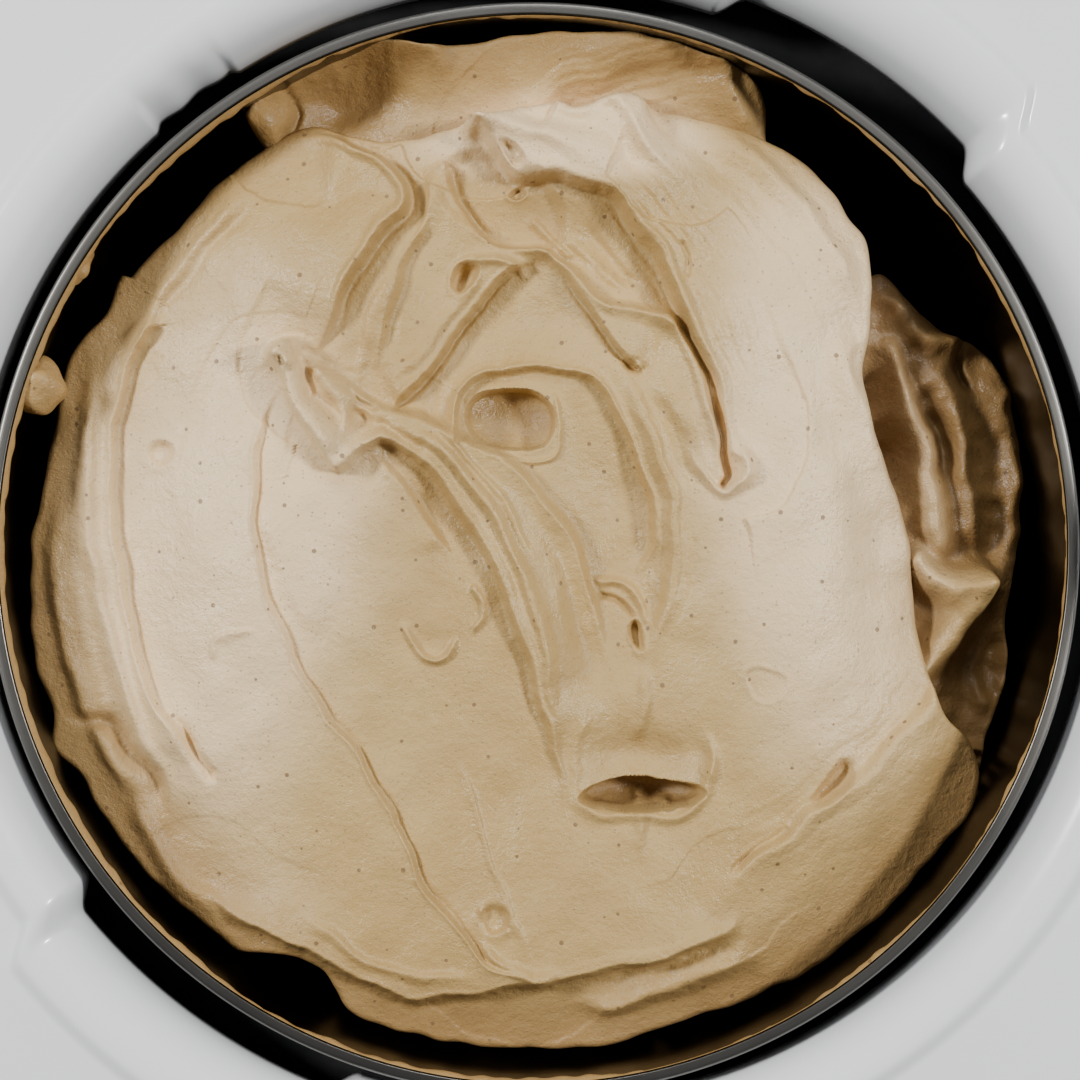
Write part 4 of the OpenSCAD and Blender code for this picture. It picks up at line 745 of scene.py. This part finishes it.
def ice_cream_material():
    """Moist frozen cream: soft light scattering, ground coffee specks, ice grain and a wet gloss in places,
    with painted light on three masses and painted shade low in the bowl and near the wall.
    """
    made, shader, point = new_material(
        "coffee_ice_cream", (0.66, 0.50, 0.32), 0.42, Subsurface_Weight=0.12, Subsurface_Scale=0.0009,
        Specular_IOR_Level=0.45)
    shader.inputs["Subsurface Radius"].default_value = (1.0, 0.62, 0.34)
    cloud = noise(point, 28, 4)
    patch = noise(point, 120, 3)
    tone = band(cloud * 0.7 + patch * 0.3, 0.35, 0.68)
    cream = blend_colors(tone, rgb(0.49, 0.325, 0.125), rgb(0.57, 0.395, 0.165))
    # painted light: the paler colour of the lit pools on the left, right and rear masses
    lit_patch_color = rgb(0.87, 0.655, 0.385)
    # painted shade: the colour of cream lying deep in the bowl
    deep_shade_color = rgb(0.22, 0.12, 0.04)
    # painted shade: the colour of cream close to the bowl wall
    wall_shade_color = rgb(0.34, 0.20, 0.075)

    def specks(per_metre, least, most):
        """1 on small flecks, one in each cell of a cell pattern and of random size, else 0."""
        near = point.node("ShaderNodeTexVoronoi", {"Vector": point, "Scale": per_metre})
        pick = point.node("ShaderNodeTexVoronoi", {"Vector": point, "Scale": per_metre}, output=1)
        grey = pick.node("ShaderNodeSeparateColor", {0: pick})
        size = band(grey, 0.55, 1.0, least, most)
        return band(near - size, -0.02, 0.03, 1.0, 0.0)

    wide = specks(430, -0.06, 0.17)
    fine = specks(1400, -0.08, 0.28)
    across, along, height = (point.node("ShaderNodeSeparateXYZ", {0: point}, output=k) for k in range(3))
    # painted shade: darker where the cream lies low in the bowl
    deep_shade = band(height + (cloud - 0.5) * 0.006, (rim_z - 20) * MM, (rim_z - 8.5) * MM, 1.0, 0.0)
    # painted light: pale pools laid over three masses where the light falls on them
    painted_light_pools = 0.0
    for x, y, half_x, half_y in [(-52, -6, 28, 52), (47, 14, 25, 58), (4, 66, 26, 9)]:
        u = (across - (axis_x + x) * MM) / (half_x * MM)
        v = (along - (axis_y + y) * MM) / (half_y * MM)
        away = (u ** 2 + v ** 2) ** 0.5
        painted_light_pools = painted_light_pools + band(away + (cloud - 0.5) * 0.9, 0.35, 1.25, 1.0, 0.0)
    cream = blend_colors(band(painted_light_pools, 0.0, 1.0), cream, lit_patch_color)
    cream = blend_colors(deep_shade * 0.85, cream, deep_shade_color)
    # painted shade: darker towards the wall, where the cream falls away into shade
    from_shaft = ((across - axis_x * MM) ** 2 + (along - axis_y * MM) ** 2) ** 0.5
    wall_shade = band(from_shaft + (cloud - 0.5) * 0.008, 68 * MM, 82 * MM)
    cream = blend_colors(wall_shade * 0.6, cream, wall_shade_color)
    speckled = blend_colors(wide * 0.75, cream, rgb(0.17, 0.10, 0.05))
    speckled = blend_colors(fine * 0.5, speckled, rgb(0.30, 0.20, 0.11))
    connect(speckled, shader, "Base Color")
    wet = band(noise(point, 75, 5, 0.6), 0.42, 0.66)
    sparkle = noise(point, 2600, 2)
    connect(band(wet, 0, 1, 0.30, 0.56) + (sparkle - 0.5) * 0.25, shader, "Roughness")
    icy = noise(point, 3300, 2) * 0.5 + noise(point, 1100, 3) * 0.8 + noise(point, 380, 2) * 1.2
    bumps(shader, icy, 0.00024)
    return made


cream_finish = ice_cream_material()
heap_outline = [(-36, 68), (-42, 66.5), (-49, 61.5), (-56, 54.5), (-63.5, 47), (-66.5, 43.5), (-68.5, 43.8),
                (-71, 37.5), (-76.5, 31), (-79, 20), (-81.5, 9), (-83.2, -2.5), (-83, -14), (-82.2, -21),
                (-79.6, -27), (-79.5, -33), (-74.5, -38.5), (-71.5, -44.5), (-63, -55.5), (-56, -61),
                (-49.5, -66.5), (-41, -67.2), (-36, -69), (-33.2, -73), (-30.5, -77), (-22, -80.3),
                (-11, -82.6), (0, -83.2), (13.5, -82), (25, -78.2), (33, -75.6), (43, -71.4), (56, -62),
                (67, -50), (72.8, -41), (71.5, -33), (66, -27), (62, -14), (61.5, -2), (57.5, 12), (53, 25),
                (54, 36), (54, 46.5), (50, 55), (44, 61.5), (37, 66), (27, 68.5), (20, 70), (15, 73),
                (6.5, 71.5), (-2.5, 71), (-10, 69), (-16, 66.8), (-22.5, 65.8), (-29, 66)]
body_floor = -60


def make_lump(name, outline, centre, across, height_of, lip, strips=1, floor=body_floor, ease_under=2.0):
    """A lump of ice cream, cut into strips so that no mesh gets heavy; the strips share their normals."""
    points = blob_surface(outline, centre, across, height_of, lip, floor, ease_under)
    along = np.gradient(points, axis=1)
    aside = np.gradient(points, axis=0)
    normals = np.cross(along, aside)
    normals /= np.maximum(np.linalg.norm(normals, axis=-1, keepdims=True), 1e-9)
    cuts = np.linspace(0, points.shape[0] - 1, strips + 1).astype(int)
    made = []
    for number, (first, last) in enumerate(zip(cuts[:-1], cuts[1:]), 1):
        part = points[first:last + 1]
        label = name if strips == 1 else f"{name}_{number}"
        piece = add_piece(label, part, grid_quads(*part.shape[:2]), cream_finish, "mix")
        piece.data.normals_split_custom_set_from_vertices(normals[first:last + 1].reshape(-1, 3).tolist())
        made.append(piece)
    return made


across = 660
heap = make_lump("churned_heap", heap_outline, (0, -4), across, churned, 1.3, strips=6)
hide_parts("ice_cream")


def rear_layer(x, y):
    """The older, lower layer behind the wave: a shallow dish with a curled lip at its left end."""
    c = Cream(x, y)
    c.z += -15 + 0.42 * (y - 62) + 0.5 * waves(x, y, 14, 31) + 0.12 * waves(x, y, 4, 32)
    curl = [(-47, 69), (-44, 72.5), (-39, 75.5), (-34, 77.8), (-27, 80), (-20, 80.5), (-16.5, 78.5),
            (-16.5, 73)]
    c.ridge(curl, 3.6, 1.6, 2.0, ends=(0.03, 0.25))
    c.swell((-30, 72), (10, 4.5), -3.5, 8)
    c.swell((-43.5, 68), (3.5, 2.6), 3.0, 40)
    c.ridge([(-41, 73.5), (-39.5, 70), (-41.5, 66.5)], -1.2, 0.6, 0.8)
    c.fold([(-5, 66), (3, 72), (14, 76), (25, 78), (35, 78.5)], 1.4, 1.2, 9, side=1)
    c.ridge([(5, 79), (18, 80.5), (33, 78.5)], 1.0, 2.0, 1.6)
    c.ridge([(29, 82), (31, 74), (35, 67)], 1.6, 1.6, 2.6)
    c.strands([(0, 70), (15, 76), (32, 78)], 3.0, 0.15, 6)
    return c.z


make_lump("rear_layer", [(-47, 70.5), (-41.5, 75), (-34.5, 78.6), (-24, 80.5), (-16, 80.2), (0, 82.2),
          (14, 82.3), (26, 79.2), (35, 75.5), (37.5, 68), (36, 58), (10, 55), (-16, 56), (-38, 58),
          (-44.5, 64)], (-4, 68), min(across * 5 // 8, 280), rear_layer, 1.2, ease_under=1.0)


def right_clump(x, y):
    """The crumpled mass against the right wall: ribs, a bright peak and the fanned ridges below it."""
    c = Cream(x, y)
    c.z += -20 + 0.7 * waves(x, y, 9, 41) + 0.25 * waves(x, y, 3, 42) - 5 * ease((np.hypot(x, y) - 70) / 12)
    c.ridge([(57, 40), (62, 37), (68, 33.5), (73, 33.5)], 2.6, 1.8, 2.2)
    c.ridge([(71.5, 35), (70.5, 31), (72, 27)], -1.6, 0.9, 1.0)
    c.ridge([(56, 36), (61, 26), (64, 14), (66, 2), (69, -6)], 3.2, 2.2, 2.6)
    c.ridge([(66, 31), (70, 20), (72, 8), (73, -4)], 2.2, 2.0, 2.2)
    c.ridge([(75, 28), (79, 18), (79.5, 4), (77, -10)], 2.0, 1.8, 2.2)
    c.ridge([(60, 32), (66, 20), (69, 10)], -2.2, 1.6, 1.6)
    c.swell((57.5, 14.5), (3.2, 4.8), -5.0, 10)
    c.swell((54, 24), (2.6, 4), -3)
    # The peak and the ridge that falls from it
    c.ridge([(60, -1), (64, -5), (68, -6.5), (73, -6)], 4.5, 2.4, 2.4, ends=(0.2, 0.03))
    c.swell((71, -8), (5.2, 4.6), 5.5, 20)
    c.ridge([(74, -6), (71, -12), (66, -18), (61, -24), (56, -31)], 5.0, 2.0, 3.0, ends=(0.05, 0.3))
    c.swell((74, -18), (4, 8), -4, 10)
    c.ridge([(75.5, -14), (74, -22), (75.5, -30)], 2.0, 1.6, 1.8)
    # Fan of ridges near the bottom
    for k in range(5):
        c.ridge([(58 - k, -29.5 - 2.2 * k), (65, -33.4 - 2.5 * k), (73.5, -34.4 - 2.6 * k)],
                3.2 - 0.3 * k, 0.8, 1.1, ends=(0.3, 0.1))
    c.strands([(56, -40), (64, -42), (74, -40)], 1.6, 0.3, 7)
    return c.z


make_lump("right_clump", [(56, 45), (61.5, 41), (67, 36), (71.5, 34.5), (75, 32), (78.5, 27.5), (81, 17.5),
          (81.5, 3), (79, -11), (79.3, -22), (75.5, -33), (73.5, -41), (66, -47), (54, -44), (48, -20),
          (46, 10), (48, 34)], (63, 0), min(across * 3 // 4, 280), right_clump, 1.2, ease_under=0.8)


# ---------------------------------------------------------------- cream left on the bowl
# What the spatula wiped off on the bowl: a thin film along the inner edge of the rim, two blobs that stick to
# the wall. They stay with the bowl when the dasher turns.


def film_points(columns=900, rows=9):
    """A wavy film on the wall just under the rim, wider on the left and at the front."""
    turn = np.linspace(0, 2 * np.pi, columns, endpoint=False)
    wave = waves(90 * np.cos(turn), 90 * np.sin(turn), 16, 51)
    fine = waves(90 * np.cos(turn), 90 * np.sin(turn), 3, 52)
    left = ease((75 - np.abs(np.degrees(turn) - 165)) / 40)
    front = 0.7 * ease((60 - np.abs(np.degrees(turn) - 240)) / 40)
    amount = np.clip(0.25 + left + front + 0.35 * wave + 0.22 * fine, 0.12, None)
    down = np.linspace(0, 1, rows)[:, None]
    depth = -0.15 - down * (0.8 + 1.5 * amount)
    thick = 0.06 + np.sin(np.pi * np.clip(down, 0.0, 1)) ** 0.7 * 0.42 * amount
    r = bowl_wall_r + 0.12 - thick
    return np.stack([bowl_x + r * np.cos(turn), bowl_y + r * np.sin(turn),
                     rim_z + depth * np.ones(columns)], axis=-1)


def blob(name, centre, size, seed, rows=48, columns=64):
    """A sagging drop against the wall: a ball whose radius swells and shrinks, pulled out downwards."""
    up = np.linspace(0.02, np.pi - 0.02, rows)[:, None]
    turn = np.linspace(0, 2 * np.pi, columns, endpoint=False)[None, :]
    x = np.sin(up) * np.cos(turn)
    y = np.sin(up) * np.sin(turn)
    z = np.cos(up) * np.ones_like(turn)
    swell = 1 + 0.10 * waves(x * 10 + z * 4, y * 10 - z * 3, 7, seed)
    points = np.stack([x * swell, y * swell, z * swell * np.where(z < 0, 1.25, 0.9)], axis=-1) * np.array(size)
    points = points + np.array(centre) + np.array([axis_x, axis_y, rim_z])
    away = np.hypot(points[..., 0] - bowl_x, points[..., 1] - bowl_y)
    keep = np.minimum(1, (bowl_wall_r - 0.1) / away)
    points[..., 0] = bowl_x + (points[..., 0] - bowl_x) * keep
    points[..., 1] = bowl_y + (points[..., 1] - bowl_y) * keep
    return add_piece(name, points, grid_quads(rows, columns, close_columns=True), cream_finish, "bowl")


film = film_points()
add_piece("rim_film", film, grid_quads(*film.shape[:2], close_columns=True), cream_finish, "bowl")
blob("wall_blob", (-80.5, 25.5, -5.0), (4.6, 4.6, 4.4), 61)
blob("small_blob", (-73.6, 45, -2.6), (2.4, 3.4, 2.2), 63)


# ---------------------------------------------------------------- finishes of the other parts
# Every other part keeps its CAD shape and gets the finish of what it is made of: mouldings, sheet metal,
# cast and drawn metal, enamel, rubber, foam and laminate.


def metal_material(name, color, roughness, grain=(1, 1, 1), depth=0.00001, dull=0.25):
    """Bare metal: tool marks stretched by the factors in grain, cloudy oxide and small changes in gloss."""
    made, shader, point = new_material(name, color, roughness, Metallic=1.0)
    marks = noise(stretched(point, *grain), 900, 3)
    cloud = noise(point, 45, 4)
    tarnished = rgb(*(c * (1 - dull) for c in color))
    connect(blend_colors(band(cloud, 0.35, 0.75), rgb(*color), tarnished), shader, "Base Color")
    connect(marks * 0.16 + cloud * 0.14 + (roughness - 0.15), shader, "Roughness")
    bumps(shader, marks, depth)
    return made


def enamel_material(name, color, roughness):
    """Sprayed enamel: orange peel, a thin clear gloss and dust that has settled in cloudy patches."""
    made, shader, point = new_material(name, color, roughness, Coat_Weight=0.3, Coat_Roughness=0.12)
    dust = band(noise(point, 38, 5, 0.65), 0.45, 0.75)
    connect(blend_colors(dust * 0.3, rgb(*color), rgb(0.30, 0.29, 0.27)), shader, "Base Color")
    connect(band(dust, 0, 1, roughness, min(1.0, roughness + 0.3)), shader, "Roughness")
    bumps(shader, noise(point, 420, 2), 0.00003)
    return made


def rubber_material(name, color):
    """Moulded rubber: dead matt, with a faint bloom and a fine sandy skin."""
    made, shader, point = new_material(name, color, 0.8)
    bloom = band(noise(point, 70, 4), 0.4, 0.8)
    connect(blend_colors(bloom * 0.35, rgb(*color), rgb(*(min(1, c * 1.6 + 0.03) for c in color))), shader,
            "Base Color")
    connect(band(bloom, 0, 1, 0.72, 0.92), shader, "Roughness")
    bumps(shader, noise(point, 1500, 3), 0.00004)
    return made


def foam_material(name, color):
    """Poured insulating foam: a skin of small cells with darker seams and uneven browning."""
    made, shader, point = new_material(name, color, 0.85)
    cells = point.node("ShaderNodeTexVoronoi", {"Vector": point, "Scale": 520.0})
    browned = band(noise(point, 22, 4), 0.35, 0.75)
    base = blend_colors(browned, rgb(*color), rgb(*(c * 0.72 for c in color)))
    connect(blend_colors(band(cells, 0.3, 0.9, 0.0, 0.4), base, rgb(0.42, 0.32, 0.14)), shader, "Base Color")
    connect(band(cells, 0.0, 0.8, 0.75, 0.95), shader, "Roughness")
    bumps(shader, 1.0 - cells, 0.0004)
    return made


def laminate_material(name, color):
    """Circuit-board laminate: a woven base under green lacquer, with raised copper tracks."""
    made, shader, point = new_material(name, color, 0.35, Coat_Weight=0.5)
    tracks = point.node("ShaderNodeTexVoronoi", {"Vector": point, "Scale": 260.0}, feature="DISTANCE_TO_EDGE")
    weave = noise(stretched(point, 1, 1, 4), 1400, 1)
    track = band(tracks, 0.05, 0.09, 1.0, 0.0)
    connect(blend_colors(track * 0.6, rgb(*color), rgb(0.16, 0.36, 0.13)), shader, "Base Color")
    connect(weave * 0.2 + 0.25, shader, "Roughness")
    bumps(shader, track * 0.8 + weave * 0.2, 0.00004)
    return made


def clear_material(name, color):
    """Clear moulded plastic: faintly blue, with flow waves and fine wiping scratches."""
    made, shader, point = new_material(name, color, 0.04, Transmission_Weight=0.9, IOR=1.49)
    flow = noise(point, 24, 2)
    wiping = noise(stretched(point, 1, 14, 1), 300, 3)
    connect(blend_colors(flow, rgb(*color), rgb(*(c * 0.95 for c in color))), shader, "Base Color")
    connect(band(wiping, 0.5, 0.75, 0.03, 0.14), shader, "Roughness")
    bumps(shader, flow, 0.00006)
    return made


finishes = {
    "white_gloss": cover_white,
    "pan_white": moulded_material("pan_plastic", (0.74, 0.755, 0.77), 0.45, grain=0.00004),
    "grille_white": moulded_material("grille_plastic", (0.77, 0.785, 0.80), 0.36, grain=0.00003),
    "foot_rubber": rubber_material("foot_rubber", (0.035, 0.035, 0.036)),
    "screw_steel": metal_material("plated_screw", (0.62, 0.61, 0.58), 0.32),
    # black plastic collar; its near-black colour is also painted shade of the gap round the bowl
    "collar_black": moulded_material("collar_plastic_gap_shade", (0.010, 0.011, 0.013), 0.5, grain=0.00004, tint=0.3),
    "well_aluminium": metal_material("drawn_aluminium", (0.80, 0.81, 0.82), 0.34, grain=(1, 1, 0.05)),
    "copper_tube": metal_material("drawn_copper", (0.80, 0.42, 0.27), 0.28, dull=0.45),
    "foam": foam_material("poured_foam", (0.80, 0.66, 0.34)),
    "dasher_plastic": moulded_material("dasher_plastic", (0.80, 0.77, 0.68), 0.4, grain=0.00003),
    "shaft_steel": metal_material("ground_steel", (0.62, 0.62, 0.63), 0.2, grain=(1, 1, 9), depth=0.000006),
    "seal_rubber": rubber_material("seal_rubber", (0.028, 0.028, 0.028)),
    "bearing_bronze": metal_material("sintered_bronze", (0.60, 0.42, 0.20), 0.45, depth=0.00003),
    "pulley_nylon": moulded_material("pulley_nylon", (0.78, 0.77, 0.71), 0.42, grain=0.00003, tint=0.08),
    "belt_rubber": rubber_material("belt_rubber", (0.016, 0.016, 0.017)),
    "motor_enamel": enamel_material("motor_enamel", (0.055, 0.065, 0.078), 0.38),
    "bracket_zinc": metal_material("galvanised_sheet", (0.66, 0.67, 0.68), 0.42, depth=0.00002, dull=0.18),
    "compressor_black": enamel_material("compressor_enamel", (0.012, 0.012, 0.013), 0.3),
    "grommet_rubber": rubber_material("grommet_rubber", (0.02, 0.02, 0.021)),
    "condenser_fins": metal_material("fin_aluminium", (0.78, 0.79, 0.80), 0.36, grain=(1, 1, 12)),
    "fan_plastic": moulded_material("fan_plastic", (0.018, 0.018, 0.02), 0.4, grain=0.00004, tint=0.3),
    "panel_grey": moulded_material("panel_plastic", (0.32, 0.34, 0.365), 0.42, grain=0.00005, tint=0.06),
    "timer_cream": moulded_material("timer_plastic", (0.68, 0.61, 0.43), 0.4, grain=0.00003),
    "knob_white": moulded_material("knob_plastic", (0.80, 0.815, 0.83), 0.18, grain=0.00001, coat=0.4),
    "switch_black": moulded_material("switch_plastic", (0.014, 0.014, 0.015), 0.28, grain=0.00002, tint=0.3),
    "lamp_green": moulded_material("lamp_lens", (0.02, 0.42, 0.06), 0.12, grain=0.00002, coat=0.6, tint=0.15),
    "board_green": laminate_material("circuit_laminate", (0.015, 0.10, 0.035)),
    "capacitor_grey": moulded_material("capacitor_can", (0.50, 0.50, 0.485), 0.35, grain=0.00003),
    "inlet_black": moulded_material("inlet_plastic", (0.018, 0.018, 0.018), 0.5, grain=0.00004, tint=0.3),
    "pin_nickel": metal_material("nickel_pin", (0.70, 0.66, 0.58), 0.2),
    "lid_clear": clear_material("clear_lid", (0.86, 0.93, 0.97)),
    "gasket_silicone": rubber_material("gasket_silicone", (0.62, 0.64, 0.65)),
}
for part in frame["record"]["subparts"]:
    finish = finishes.get(part["material_slot"])
    if finish:
        node_mesh = frame["nodes"][part["node"]].data
        node_mesh.materials.clear()
        node_mesh.materials.append(finish)


# ---------------------------------------------------------------- stage and light
# A pale tabletop, a broad soft light overhead and two smaller ones that put wet highlights on the ridges.


def stage_floor():
    mesh = bpy.data.meshes.new("table_top")
    mesh.from_pydata([(-4, -4, 0), (4, -4, 0), (4, 4, 0), (-4, 4, 0)], [], [(0, 1, 2, 3)])
    piece = bpy.data.objects.new("table_top", mesh)
    mesh.materials.append(new_material("pale_table", (0.72, 0.71, 0.69), 0.6)[0])
    bpy.context.scene.collection.objects.link(piece)


def soft_light(name, place, aim, size, power, color=(1, 1, 1)):
    """A square softbox at place, in metres, turned to face aim."""
    light = bpy.data.lights.new(name, "AREA")
    light.size = size
    light.energy = power
    light.color = color
    holder = bpy.data.objects.new(name, light)
    holder.location = place
    holder.rotation_euler = (Vector(aim) - Vector(place)).to_track_quat("-Z", "Y").to_euler()
    bpy.context.scene.collection.objects.link(holder)


lamp_size = 0.13
lamp_color = (1.0, 0.98, 0.95)
stage_floor()
target = (axis_x * MM, axis_y * MM, deck_z * MM)
soft_light("rear_softbox", (axis_x * MM + 0.05, 0.85, 1.15), target, 0.35, 5.5)
soft_light("left_lamp", (axis_x * MM - 0.62, 0.20, 0.80), target, lamp_size, 6.8, lamp_color)
soft_light("right_lamp", (axis_x * MM + 0.62, 0.10, 0.90), target, lamp_size, 7.2, lamp_color)
world = bpy.data.worlds.new("room")
world.use_nodes = True
world.node_tree.nodes["Background"].inputs["Color"].default_value = (0.86, 0.93, 1.0, 1)
world.node_tree.nodes["Background"].inputs["Strength"].default_value = 0.06
bpy.context.scene.world = world
